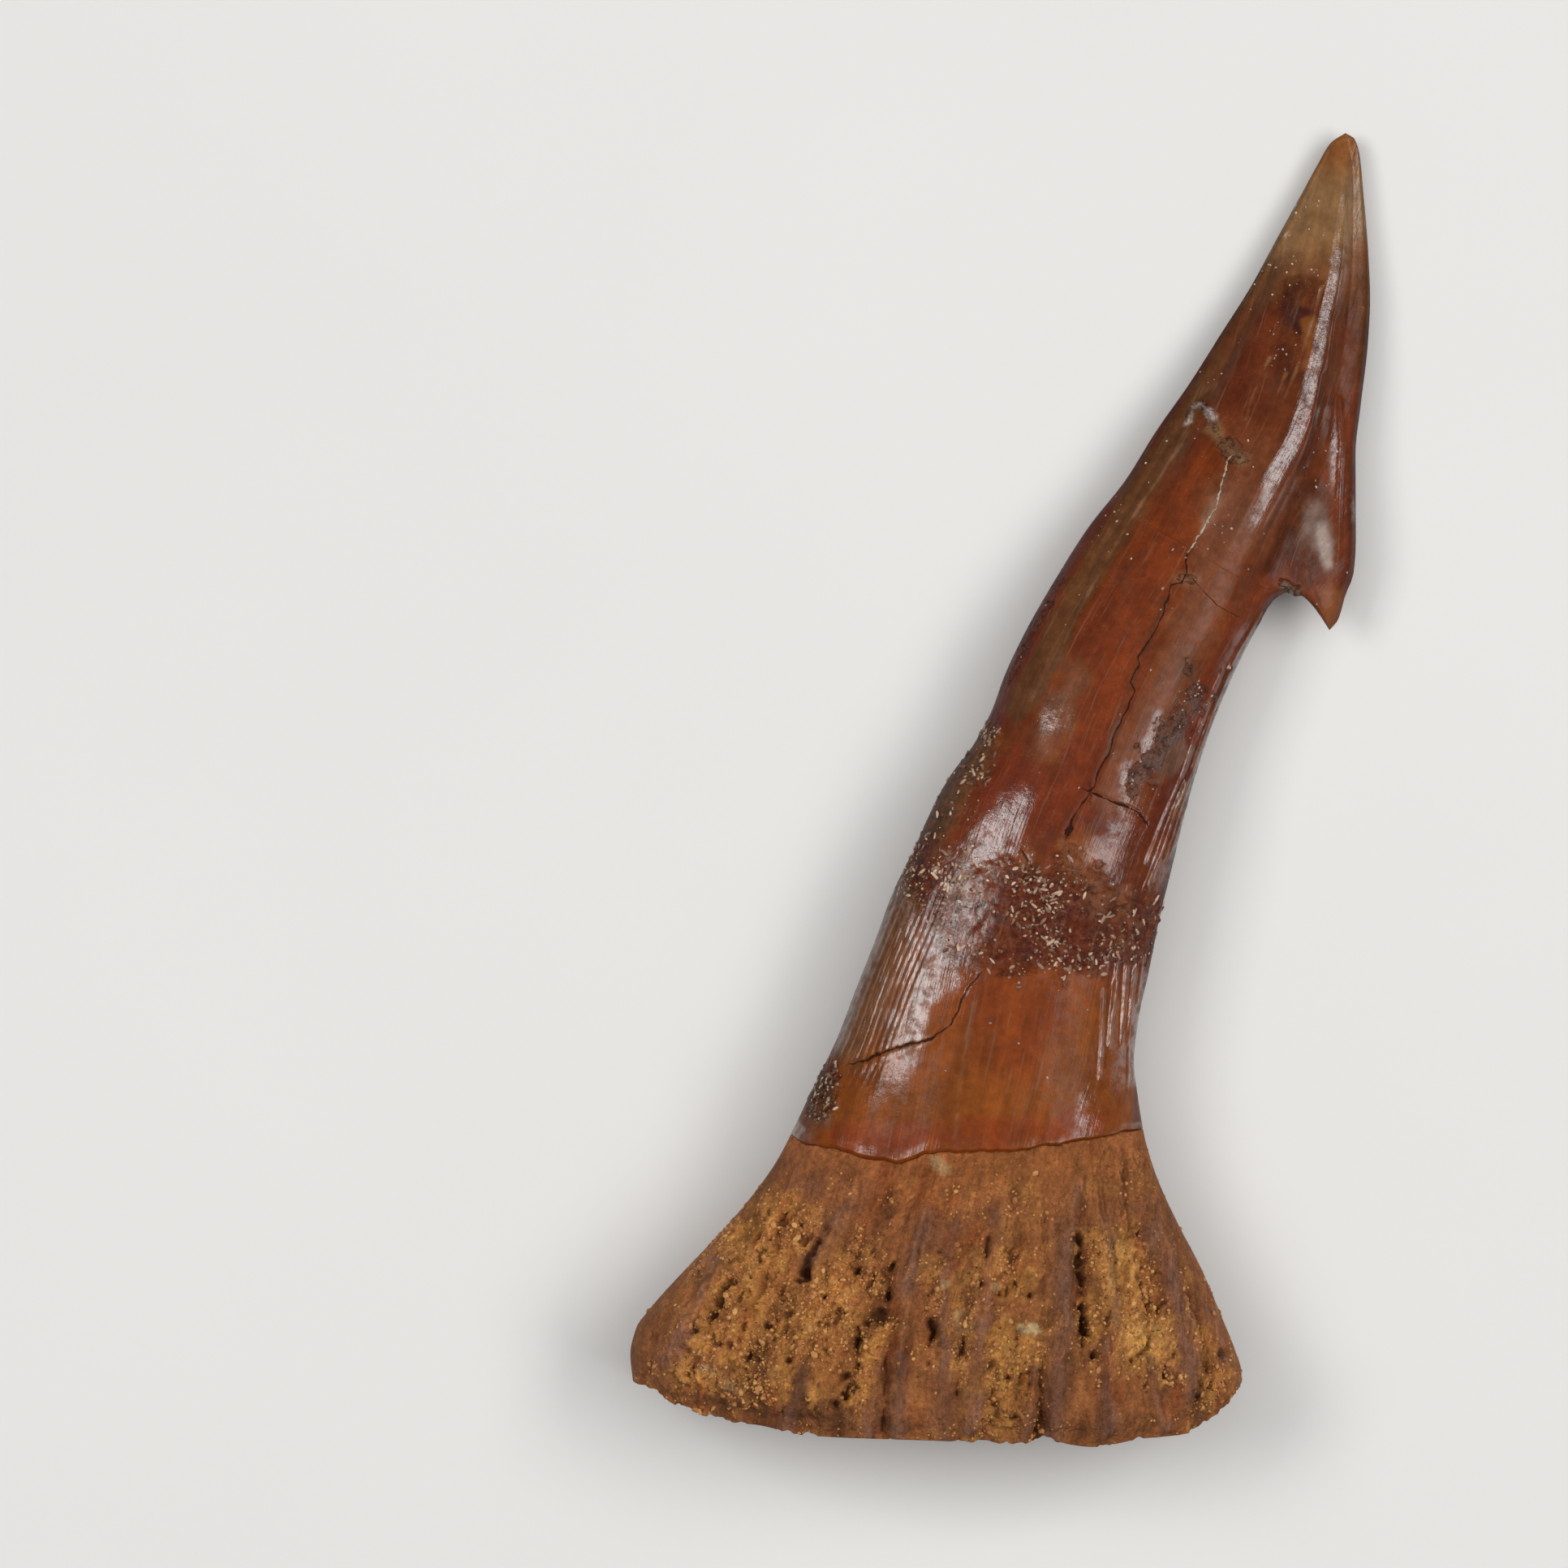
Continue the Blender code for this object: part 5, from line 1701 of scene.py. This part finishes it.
@dataclass(frozen=True)
class Scatter:
    """Small angular grains that cling to a surface, spread by a field of that surface.

    Attributes:
        name: The piece's name.
        density: The field that says how thickly they lie.
        most: How many lie on a square millimetre where the field is 1.
        smallest: The smallest grain's half width, in millimetres.
        largest: The largest grain's half width, in millimetres.
        stretch: How many times longer than wide the longest is.
        seed: The seed of all that is random.
        least_form: The slimmest grain's three half widths, as shares of its size.
        most_form: The stoutest grain's widths across and up, as shares of its size.
        tip: How far a grain leans over, in radians.
    """

    name: str
    density: str
    most: float
    smallest: float
    largest: float
    stretch: float
    seed: int
    least_form: tuple[float, float, float] = (0.85, 0.75, 0.55)
    most_form: Point = (1.15, 0.95)
    tip: float = 0.4

    def settings(self) -> dict[str, tuple[str, float | int]]:
        """List the tree's inputs, with their kinds and values."""
        return {
            "Grains per area": ("NodeSocketFloat", self.most / MM ** 2),
            "Smallest": ("NodeSocketFloat", self.smallest * MM),
            "Largest": ("NodeSocketFloat", self.largest * MM),
            "Stretch": ("NodeSocketFloat", self.stretch),
            "Seed": ("NodeSocketInt", self.seed),
        }

    def tree(self, material: bpy.types.Material) -> bpy.types.NodeTree:
        """Make the node tree that spreads the grains.

        Args:
            material: The grains' material.

        Returns:
            The tree.
        """
        tree = bpy.data.node_groups.new(self.name, "GeometryNodeTree")
        tree.interface.new_socket("Geometry", in_out="INPUT", socket_type="NodeSocketGeometry")
        for label, (kind, _) in self.settings().items():
            tree.interface.new_socket(label, in_out="INPUT", socket_type=kind)
        tree.interface.new_socket("Geometry", in_out="OUTPUT", socket_type="NodeSocketGeometry")
        start = tree.nodes.new("NodeGroupInput").outputs

        def add(kind: str, inputs: dict[str | int, object], **settings: object) -> bpy.types.Node:
            """Add a node to this tree."""
            return add_node(tree, kind, inputs, settings)

        def pick(seed: object, low: float | tuple, high: object,
                 vector: bool = False) -> bpy.types.NodeSocket:
            """Pick a random number or vector for each grain.

            Args:
                seed: The seed.
                low: The least value.
                high: The greatest value.
                vector: Whether to pick a vector.

            Returns:
                The picked value.
            """
            kind = "FLOAT_VECTOR" if vector else "FLOAT"
            first = 0 if vector else 2
            node = add("FunctionNodeRandomValue", {first: low, first + 1: high, 8: seed}, data_type=kind)
            return node.outputs[0 if vector else 1]

        amount = add("GeometryNodeInputNamedAttribute", {"Name": self.density}, data_type="FLOAT")
        density = add("ShaderNodeMath", {0: amount.outputs["Attribute"], 1: start["Grains per area"]},
                      operation="MULTIPLY")
        points = add("GeometryNodeDistributePointsOnFaces",
                     {"Mesh": start["Geometry"], "Density": density.outputs[0], "Seed": start["Seed"]})
        grain = add("GeometryNodeMeshIcoSphere", {"Radius": 1.0, "Subdivisions": 1})
        longest = add("ShaderNodeCombineXYZ",
                      {"X": start["Stretch"], "Y": self.most_form[0], "Z": self.most_form[1]})
        form = pick(start["Seed"], self.least_form, longest.outputs[0], True)
        size = pick(7, start["Smallest"], start["Largest"])
        scale = add("ShaderNodeVectorMath", {0: form, "Scale": size}, operation="SCALE")
        spin = pick(11, (-self.tip, -self.tip, 0.0), (self.tip, self.tip, 2 * math.pi), True)
        turned = add("FunctionNodeRotateRotation",
                     {"Rotation": points.outputs["Rotation"], "Rotate By": spin}, rotation_space="LOCAL")
        grains = add("GeometryNodeInstanceOnPoints",
                     {"Points": points.outputs["Points"], "Instance": grain.outputs["Mesh"],
                      "Rotation": turned.outputs[0], "Scale": scale.outputs[0]})
        shaded = add("GeometryNodeStoreNamedAttribute",
                     {"Geometry": grains.outputs[0], "Name": "shade", "Value": pick(23, 0.0, 1.0)},
                     data_type="FLOAT", domain="INSTANCE")
        solid = add("GeometryNodeRealizeInstances", {"Geometry": shaded.outputs[0]})
        flat = add("GeometryNodeSetShadeSmooth", {"Geometry": solid.outputs[0], "Shade Smooth": False})
        dressed = add("GeometryNodeSetMaterial", {"Geometry": flat.outputs[0], "Material": material})
        add("NodeGroupOutput", {"Geometry": dressed.outputs[0]})
        return tree

    def build(self, guide: bpy.types.Object, material: bpy.types.Material) -> bpy.types.Object:
        """Spread the grains over a piece.

        Args:
            guide: The piece that they cling to.
            material: Their material.

        Returns:
            The grains, as one plain mesh.
        """
        carrier = bpy.data.objects.new(self.name + "_guide", guide.data)
        bpy.context.collection.objects.link(carrier)
        modifier = carrier.modifiers.new("grains", "NODES")
        modifier.node_group = self.tree(material)
        sockets = {item.name: item.identifier for item in modifier.node_group.interface.items_tree
                   if item.in_out == "INPUT"}
        for label, (_, value) in self.settings().items():
            modifier[sockets[label]] = value
        graph = bpy.context.evaluated_depsgraph_get()
        mesh = bpy.data.meshes.new_from_object(carrier.evaluated_get(graph), preserve_all_data_layers=True,
                                               depsgraph=graph)
        mesh.name = self.name
        bpy.data.objects.remove(carrier)
        piece = bpy.data.objects.new(self.name, mesh)
        bpy.context.collection.objects.link(piece)
        return piece


class Board:
    """A material's node tree, with short ways to add and join its nodes."""

    def __init__(self, name: str) -> None:
        """Start a material.

        Args:
            name: The material's name.
        """
        self.material = bpy.data.materials.new(name)
        self.material.use_nodes = True
        self.tree = self.material.node_tree
        self.shader = self.tree.nodes["Principled BSDF"]

    def set(self, **values: object) -> None:
        """Set the shader's own sockets, whose names are given with _ for spaces."""
        for name, value in values.items():
            self.shader.inputs[name.replace("_", " ")].default_value = value

    def add(self, kind: str, inputs: dict[str | int, object], **settings: object) -> bpy.types.Node:
        """Add a node.

        Args:
            kind: The node's type.
            inputs: Its inputs, each a socket to join or a plain value.
            **settings: Its settings.

        Returns:
            The node.
        """
        return add_node(self.tree, kind, inputs, settings)

    def field(self, name: str) -> bpy.types.NodeSocket:
        """Read a number field of the mesh."""
        return self.add("ShaderNodeAttribute", {}, attribute_name=name).outputs["Fac"]

    def colour_field(self, name: str) -> bpy.types.NodeSocket:
        """Read a colour field of the mesh."""
        return self.add("ShaderNodeAttribute", {}, attribute_name=name).outputs["Color"]

    def millimetres(self) -> bpy.types.NodeSocket:
        """Give the object's coordinates in millimetres."""
        place = self.add("ShaderNodeTexCoord", {}).outputs["Object"]
        scale = (1 / MM, 1 / MM, 1 / MM)
        return self.add("ShaderNodeMapping", {"Vector": place, "Scale": scale}).outputs["Vector"]

    def surface_place(self, across: float, up: float) -> bpy.types.NodeSocket:
        """Give coordinates that follow the surface, in millimetres, scaled each way."""
        girth = self.math("MULTIPLY", self.field("girth"), across)
        length = self.math("MULTIPLY", self.field("length"), up)
        return self.add("ShaderNodeCombineXYZ", {"X": girth, "Y": length}).outputs["Vector"]

    def math(self, operation: str, first: object, second: object = 0.0,
             clamp: bool = False) -> bpy.types.NodeSocket:
        """Do a sum with two values."""
        node = self.add("ShaderNodeMath", {0: first, 1: second}, operation=operation, use_clamp=clamp)
        return node.outputs["Value"]

    def times(self, *values: object) -> bpy.types.NodeSocket:
        """Multiply values."""
        return functools.reduce(lambda product, value: self.math("MULTIPLY", product, value), values)

    def span(self, value: object, start: float, end: float, low: float = 0.0,
             high: float = 1.0) -> bpy.types.NodeSocket:
        """Turn a span of values into another one, smoothly and clamped."""
        inputs = {"Value": value, "From Min": start, "From Max": end, "To Min": low, "To Max": high}
        return self.add("ShaderNodeMapRange", inputs, interpolation_type="SMOOTHSTEP").outputs["Result"]

    def noise(self, place: object, scale: float, detail: float,
              roughness: float = 0.6) -> bpy.types.NodeSocket:
        """Read a noise, from 0 to 1."""
        inputs = {"Vector": place, "Scale": scale, "Detail": detail, "Roughness": roughness}
        return self.add("ShaderNodeTexNoise", inputs).outputs["Fac"]

    def cells(self, place: object, scale: float) -> bpy.types.NodeSocket:
        """Read the distance to the nearest of many scattered points."""
        node = self.add("ShaderNodeTexVoronoi", {"Vector": place, "Scale": scale})
        return node.outputs["Distance"]

    def mix(self, share: object, first: object, second: object,
            blend: str = "MIX") -> bpy.types.NodeSocket:
        """Mix two colours.

        Args:
            share: How much of the second colour there is.
            first: The first colour.
            second: The second colour.
            blend: How they mix.

        Returns:
            The mixed colour.
        """
        first, second = (value if isinstance(value, bpy.types.NodeSocket) else tuple(value) + (1.0,)
                         for value in (first, second))
        node = self.add("ShaderNodeMix", {}, data_type="RGBA", blend_type=blend)
        for number, value in ((0, share), (6, first), (7, second)):
            if isinstance(value, bpy.types.NodeSocket):
                self.tree.links.new(value, node.inputs[number])
            else:
                node.inputs[number].default_value = value
        return node.outputs[2]

    def lay(self, below: object, over: object, *shares: object) -> bpy.types.NodeSocket:
        """Lay a colour over another one, as thickly as the product of the shares."""
        return self.mix(self.times(*shares), below, over)

    def shade(self, colour: object, tone: object) -> bpy.types.NodeSocket:
        """Make a colour lighter or darker by a factor."""
        grey = self.add("ShaderNodeCombineColor", {"Red": tone, "Green": tone, "Blue": tone})
        return self.mix(1.0, colour, grey.outputs["Color"], "MULTIPLY")

    def bump(self, height: object, depth: float, under: object = None) -> bpy.types.NodeSocket:
        """Bend the surface's normal by a height, whose full depth is given in millimetres."""
        inputs = {"Height": height, "Distance": depth * MM, "Strength": 1.0}
        if under is not None:
            inputs["Normal"] = under
        return self.add("ShaderNodeBump", inputs).outputs["Normal"]

    def join(self, **sockets: bpy.types.NodeSocket) -> bpy.types.Material:
        """Join sockets to the shader's inputs and give the material."""
        for name, socket in sockets.items():
            self.tree.links.new(socket, self.shader.inputs[name.replace("_", " ")])
        return self.material


@dataclass(frozen=True)
class EnamelFinish:
    """The crown's enamel, polished in places, with cracks, crusts and dust.

    Amounts say how much of the enamel's colour a thing covers at most, from 0 to 1, and
    depths are in millimetres.
    """

    dull: float = 0.55
    polished: float = 0.32
    mirror: float = 0.15
    index: float = 1.5
    coat_roughness: float = 0.13
    coat_index: float = 1.75
    crack_colour: Colour = (0.02, 0.008, 0.005)
    fill_colour: Colour = (0.5, 0.37, 0.27)
    crust_colour: Colour = (0.13, 0.062, 0.042)
    clot_colour: Colour = (0.195, 0.066, 0.03)
    dust_colour: Colour = (0.4, 0.33, 0.28)
    haze_colour: Colour = (0.2, 0.1, 0.06)
    shadow_colour: Colour = (0.04, 0.012, 0.005)
    clot_amount: float = 0.55
    gap_amount: float = 0.75
    crust_amount: float = 0.2
    hole_amount: float = 0.75
    mote_amount: float = 0.4
    scuff_amount: float = 0.5
    groove_amount: float = 0.45
    speck_amount: float = 0.8
    haze_amount: float = 0.12
    crack_amount: float = 0.93
    scratch_depth: float = 0.014
    ripple_depth: float = 0.011
    grit_depth: float = 0.16
    crack_depth: float = 0.05

    def crusted(self, board: Board, colour: object, place: object, grain: object,
                crust: object) -> bpy.types.NodeSocket:
        """Lay the matrix's clots and gaps and the crusts over the enamel's colour.

        Args:
            board: The material's tree.
            colour: The enamel's colour.
            place: The place, in millimetres.
            grain: The fine grain's noise; not used.
            crust: How thick the crust lies.

        Returns:
            The new colour.
        """
        matrix = board.field("matrix")
        clots = board.noise(place, 3.2, 5, 0.75)
        colour = board.lay(colour, self.clot_colour, matrix, board.span(clots, 0.52, 0.62), self.clot_amount)
        colour = board.lay(colour, self.crack_colour, matrix, board.span(clots, 0.48, 0.38), self.gap_amount)
        colour = board.lay(colour, self.crust_colour, crust, self.crust_amount)
        holes = board.span(board.noise(place, 4.2, 3, 0.6), 0.44, 0.36)
        return board.lay(colour, self.crack_colour, crust, holes, self.hole_amount)

    def dusted(self, board: Board, colour: object, place: object, blotch: object) -> bpy.types.NodeSocket:
        """Lay motes, scuffs, grooves, specks and haze over the enamel's colour.

        Args:
            board: The material's tree.
            colour: The enamel's colour.
            place: The place, in millimetres.
            blotch: The coarse blotches' noise.

        Returns:
            The new colour.
        """
        motes = board.span(board.noise(place, 9.0, 2), 0.58, 0.72, 0.0, self.mote_amount)
        colour = board.lay(colour, self.haze_colour, motes, board.span(blotch, 0.45, 0.62))
        scuffs = board.noise(board.surface_place(5.5, 0.22), 1.0, 5, 0.7)
        colour = board.lay(colour, self.haze_colour, board.span(scuffs, 0.55, 0.7, 0.0, self.scuff_amount))
        colour = board.lay(colour, self.shadow_colour, board.span(scuffs, 0.4, 0.28, 0.0,
                                                                  self.groove_amount))
        sparkle = board.span(board.cells(place, 6.5), 0.15, 0.06)
        few = board.span(board.noise(place, 1.3, 3), 0.44, 0.58)
        dusty = board.math("MULTIPLY", few, board.field("dust"), True)
        colour = board.lay(colour, self.dust_colour, sparkle, dusty, self.speck_amount)
        haze = board.span(board.noise(place, 0.7, 5, 0.7), 0.48, 0.75)
        return board.lay(colour, self.haze_colour, haze, self.haze_amount)

    def crack(self, board: Board, place: object) -> bpy.types.NodeSocket:
        """Tell where the cracks lie, with their uneven edges and width.

        Args:
            board: The material's tree.
            place: The place, in millimetres.

        Returns:
            Shares from 0 to 1.
        """
        wobble = board.span(board.noise(place, 5.0, 3), 0.0, 1.0, -1.1, 1.1)
        offset = board.math("ABSOLUTE", board.math("ADD", board.field("crack"), wobble))
        width = board.span(board.noise(place, 1.9, 2), 0.3, 0.7, 0.35, 1.5)
        edge = board.math("DIVIDE", offset, width)
        return board.times(board.span(edge, 1.25, 0.55), board.field("crack_near"))

    def material(self) -> bpy.types.Material:
        """Make the material.

        Returns:
            The enamel's material.
        """
        board = Board("amber_brown_enamel")
        place = board.millimetres()
        grain = board.noise(place, 3.2, 5, 0.65)
        streak = board.noise(board.surface_place(1.7, 0.3), 1.0, 5)
        blotch = board.noise(place, 0.9, 6, 0.72)
        tone = board.times(board.span(streak, 0.25, 0.75, 0.84, 1.16),
                           board.span(grain, 0.3, 0.72, 0.88, 1.12),
                           board.span(blotch, 0.3, 0.7, 0.78, 1.22))
        colour = board.shade(board.colour_field("tint"), tone)
        thick = board.times(board.field("crust"), board.span(grain, 0.35, 0.6, 0.3, 1.5))
        crust = board.span(thick, 0.25, 0.75)
        colour = self.crusted(board, colour, place, grain, crust)
        colour = self.dusted(board, colour, place, blotch)
        crack = self.crack(board, place)
        filled = board.times(board.field("crack_fill"), board.span(grain, 0.34, 0.5))
        seam = board.mix(filled, self.crack_colour, self.fill_colour)
        colour = board.lay(colour, seam, crack, self.crack_amount)
        gloss = board.field("gloss")
        rough = board.span(gloss, 0.0, 1.0, self.dull, self.polished)
        rough = board.math("ADD", rough, board.span(grain, 0.3, 0.75, -0.05, 0.09))
        rough = board.math("ADD", rough, board.times(crack, 0.4), True)
        worn = board.span(board.noise(place, 1.7, 6, 0.74), 0.38, 0.56, 0.16, 1.0)
        whole = board.math("SUBTRACT", 1.0, crack)
        coat = board.times(board.span(gloss, 0.15, 1.0, 0.03, 1.0), worn, whole)
        normal = board.bump(board.noise(board.surface_place(9.0, 0.45), 1.0, 3), self.scratch_depth)
        normal = board.bump(board.noise(place, 6.0, 3), self.ripple_depth, normal)
        gritty = board.times(board.noise(place, 4.5, 4, 0.7),
                             board.math("ADD", board.field("matrix"), crust, True),
                             board.span(gloss, 0.55, 1.0, 1.0, 0.18))
        normal = board.bump(gritty, self.grit_depth, normal)
        normal = board.bump(whole, self.crack_depth, normal)
        board.set(IOR=self.index, Specular_IOR_Level=self.mirror, Coat_Roughness=self.coat_roughness,
                  Coat_IOR=self.coat_index)
        return board.join(Base_Color=colour, Roughness=rough, Normal=normal, Coat_Weight=coat,
                          Coat_Normal=normal)


@dataclass(frozen=True)
class BoneFinish:
    """The root's rough, porous bone."""

    dark: Colour = (0.045, 0.014, 0.006)
    sand: Colour = (0.4, 0.21, 0.065)
    cream: Colour = (0.5, 0.36, 0.19)
    dull: float = 0.78
    polished: float = 0.5
    mirror: float = 0.25
    index: float = 1.5
    coat_roughness: float = 0.28
    coat_weight: float = 0.55
    speck_amount: float = 0.6
    pore_shade_amount: float = 0.75
    grain_depth: float = 0.11
    thread_depth: float = 0.07
    lump_depth: float = 0.22
    pore_depth: float = 0.1

    def material(self) -> bpy.types.Material:
        """Make the material.

        Returns:
            The bone's material.
        """
        board = Board("porous_root_bone")
        place = board.millimetres()
        fine = board.noise(place, 5.5, 5, 0.72)
        coarse = board.noise(place, 1.3, 5, 0.65)
        threads = board.noise(board.surface_place(4.5, 0.55), 1.0, 5, 0.65)
        blotch = board.noise(place, 0.8, 6, 0.74)
        tone = board.times(board.span(fine, 0.3, 0.7, 0.74, 1.26),
                           board.span(threads, 0.28, 0.72, 0.86, 1.14),
                           board.span(blotch, 0.32, 0.68, 0.76, 1.24))
        colour = board.shade(board.colour_field("tint"), tone)
        grit = board.field("grit")
        grains = board.span(board.cells(place, 6.5), 0.3, 0.12)
        colour = board.lay(colour, self.sand, grains, board.span(coarse, 0.45, 0.6),
                           board.span(grit, 0.0, 1.0, 0.1, 0.5))
        specks = board.span(board.cells(place, 3.7), 0.09, 0.04)
        colour = board.lay(colour, self.cream, specks, board.span(fine, 0.5, 0.62), self.speck_amount)
        # Painted shade: the bone's colour darkens in its pores, most in the sandy parts.
        pores = board.span(board.noise(place, 4.4, 3, 0.6), 0.37, 0.3)
        shaded_pores = board.times(pores, board.span(grit, 0.0, 1.0, 0.25, 0.85))
        colour = board.lay(colour, self.dark, shaded_pores, self.pore_shade_amount)
        polish = board.times(board.field("polish"), board.span(threads, 0.35, 0.65))
        rough = board.span(polish, 0.0, 0.8, self.dull, self.polished)
        coat = board.times(polish, self.coat_weight)
        normal = board.bump(fine, self.grain_depth)
        normal = board.bump(threads, self.thread_depth, normal)
        normal = board.bump(board.noise(place, 1.9, 5, 0.7), self.lump_depth, normal)
        normal = board.bump(board.math("SUBTRACT", 1.0, shaded_pores), self.pore_depth, normal)
        board.set(IOR=self.index, Specular_IOR_Level=self.mirror, Coat_Roughness=self.coat_roughness)
        return board.join(Base_Color=colour, Roughness=rough, Normal=normal, Coat_Weight=coat,
                          Coat_Normal=normal)


@dataclass(frozen=True)
class GrainFinish:
    """Loose grains, each of its own shade.

    Attributes:
        name: The material's name.
        dark: The darkest grain's colour.
        light: The lightest grain's colour.
        roughness: How dull they are.
        index: Their index of refraction.
    """

    name: str
    dark: Colour
    light: Colour
    roughness: float
    index: float = 1.55

    def material(self) -> bpy.types.Material:
        """Make the material.

        Returns:
            The grains' material.
        """
        board = Board(self.name)
        place = board.millimetres()
        shade = board.math("POWER", board.field("shade"), 2.2)
        stain = board.span(board.noise(place, 4.0, 3), 0.3, 0.7, -0.15, 0.15)
        colour = board.mix(board.math("ADD", shade, stain, True), self.dark, self.light)
        board.set(IOR=self.index, Roughness=self.roughness)
        return board.join(Base_Color=colour)


@dataclass(frozen=True)
class TableFinish:
    """The plain pale table."""

    colour: Colour = (0.74, 0.73, 0.71)
    shade: float = 0.97
    roughness: float = 0.75

    def material(self) -> bpy.types.Material:
        """Make the material.

        Returns:
            The table's material.
        """
        board = Board("pale_table")
        shade = board.noise(board.millimetres(), 0.02, 3)
        darker = tuple(self.shade * channel for channel in self.colour)
        colour = board.mix(board.span(shade, 0.2, 0.8), self.colour, darker)
        board.set(Roughness=self.roughness)
        return board.join(Base_Color=colour)


@dataclass(frozen=True)
class Softbox:
    """A soft lamp that faces the tooth.

    Attributes:
        name: Its name.
        azimuth: Its direction from the tooth, in degrees from +X.
        tilt: How far it hangs from straight above, in degrees.
        distance: How far away it hangs, in metres.
        size: Its width and height, in metres.
        power: Its power, in watts.
        glints: Whether glossy surfaces mirror it.
    """

    name: str
    azimuth: float
    tilt: float
    distance: float
    size: Point
    power: float
    glints: bool = True

    def hang(self) -> None:
        """Hang the lamp."""
        data = bpy.data.lights.new(self.name, "AREA")
        data.shape = "RECTANGLE"
        data.size, data.size_y = self.size
        data.energy = self.power
        lamp = bpy.data.objects.new(self.name, data)
        tilt = math.radians(self.tilt)
        turn = math.radians(self.azimuth)
        lamp.location = (self.distance * math.sin(tilt) * math.cos(turn),
                         self.distance * math.sin(tilt) * math.sin(turn),
                         self.distance * math.cos(tilt))
        lamp.rotation_euler = (0, tilt, turn)
        lamp.visible_glossy = self.glints
        bpy.context.collection.objects.link(lamp)


@dataclass(frozen=True)
class Studio:
    """The table, the soft lamps and the camera over the tooth.

    Attributes:
        frame_width: How much of the table the picture shows, in metres.
        frame_middle: The point under the middle of the picture, in metres.
        camera_height: The camera's height above the table.
        focus_height: The height at which the picture is that wide.
        sky: The room's colour.
        sky_strength: The room's brightness.
        sensor: The camera's sensor width, in millimetres.
        reach: The nearest and farthest that the camera sees, in metres.
        table_radius: The table's radius, in metres.
        table_drop: How far the table lies below the tooth's floor, in metres.
        lamps: The lamps.
    """

    frame_width: float = 0.06895
    frame_middle: Point = (-0.00958, 0.00004)
    camera_height: float = 0.5
    focus_height: float = 0.004
    sky: Colour = (0.93, 0.96, 1.0)
    sky_strength: float = 0.06
    sensor: float = 36
    reach: Point = (0.01, 10)
    table_radius: float = 1.5
    table_drop: float = 0.00002
    lamps: tuple[Softbox, ...] = (
        Softbox("left_softbox", 163, 35, 0.6, (0.22, 0.3), 1.35),
        Softbox("right_softbox", 4, 37, 0.6, (0.22, 0.5), 1.9),
        Softbox("overhead_fill", 90, 4, 1.0, (0.9, 0.9), 4.7, False),
    )

    def table(self) -> bpy.types.Object:
        """Lay the table.

        Returns:
            The table's object.
        """
        bpy.ops.mesh.primitive_circle_add(vertices=96, radius=self.table_radius, fill_type="NGON",
                                          location=(0, 0, 0))
        table = bpy.context.object
        table.name = "table_top"
        for vert in table.data.vertices:
            vert.co.z = -self.table_drop
        table.data.materials.append(TableFinish().material())
        return table

    def camera(self) -> None:
        """Set the camera straight above, with the picture's frame."""
        data = bpy.data.cameras.new("camera")
        data.sensor_width = self.sensor
        data.lens = self.sensor * (self.camera_height - self.focus_height) / self.frame_width
        data.clip_start, data.clip_end = self.reach
        camera = bpy.data.objects.new("camera", data)
        camera.location = (*self.frame_middle, self.camera_height)
        bpy.context.collection.objects.link(camera)
        bpy.context.scene.camera = camera

    def set_up(self) -> None:
        """Put the camera, the lamps and the sky in place."""
        self.camera()
        for lamp in self.lamps:
            lamp.hang()
        world = bpy.data.worlds.new("soft_room")
        world.use_nodes = True
        background = world.node_tree.nodes["Background"]
        background.inputs["Color"].default_value = self.sky + (1.0,)
        background.inputs["Strength"].default_value = self.sky_strength
        bpy.context.scene.world = world
        bpy.context.scene.view_settings.view_transform = "Standard"
        bpy.context.scene.view_settings.look = "None"


def add_piece(piece: bpy.types.Object) -> bpy.types.Object:
    """Put a piece on the tooth's body, and report it.

    Args:
        piece: The piece.

    Returns:
        The same piece.
    """
    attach(piece, BODY)
    log.info("%s: %d faces", piece.name, len(piece.data.polygons))
    return piece


def main() -> None:
    """Build the studio, then the tooth with its finishes."""
    logging.basicConfig(level=logging.INFO, format="%(name)s: %(message)s")
    studio = Studio()
    studio.set_up()
    studio.table()
    layout = Layout()
    root = add_piece(Root(layout).build(BoneFinish().material()))
    crown = add_piece(Crown(layout).build(EnamelFinish().material()))
    for piece in (root, crown):
        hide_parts(NODE)
    matrix = GrainFinish("matrix_grains", (0.11, 0.036, 0.015), (0.6, 0.43, 0.3), 0.35).material()
    calcite = GrainFinish("calcite_specks", (0.26, 0.2, 0.16), (0.62, 0.54, 0.48), 0.35).material()
    sand = GrainFinish("ochre_sand", (0.31, 0.11, 0.028), (0.6, 0.31, 0.095), 0.7).material()
    scatters = (
        (Scatter("matrix_fine_grains", "grain", 14, 0.022, 0.08, 1.8, 3), crown, matrix),
        (Scatter("matrix_long_grains", "grain", 8.0, 0.055, 0.1, 3.8, 5), crown, matrix),
        (Scatter("calcite_dust", "dust", 6.5, 0.012, 0.058, 1.7, 9), crown, calcite),
        (Scatter("root_sand", "sand", 34, 0.024, 0.075, 1.5, 13), root, sand),
        (Scatter("root_crumbs", "sand", 3.4, 0.07, 0.145, 1.7, 17), root, sand),
    )
    for scatter, guide, finish in scatters:
        add_piece(scatter.build(guide, finish))


if __name__ == "__main__":
    main()
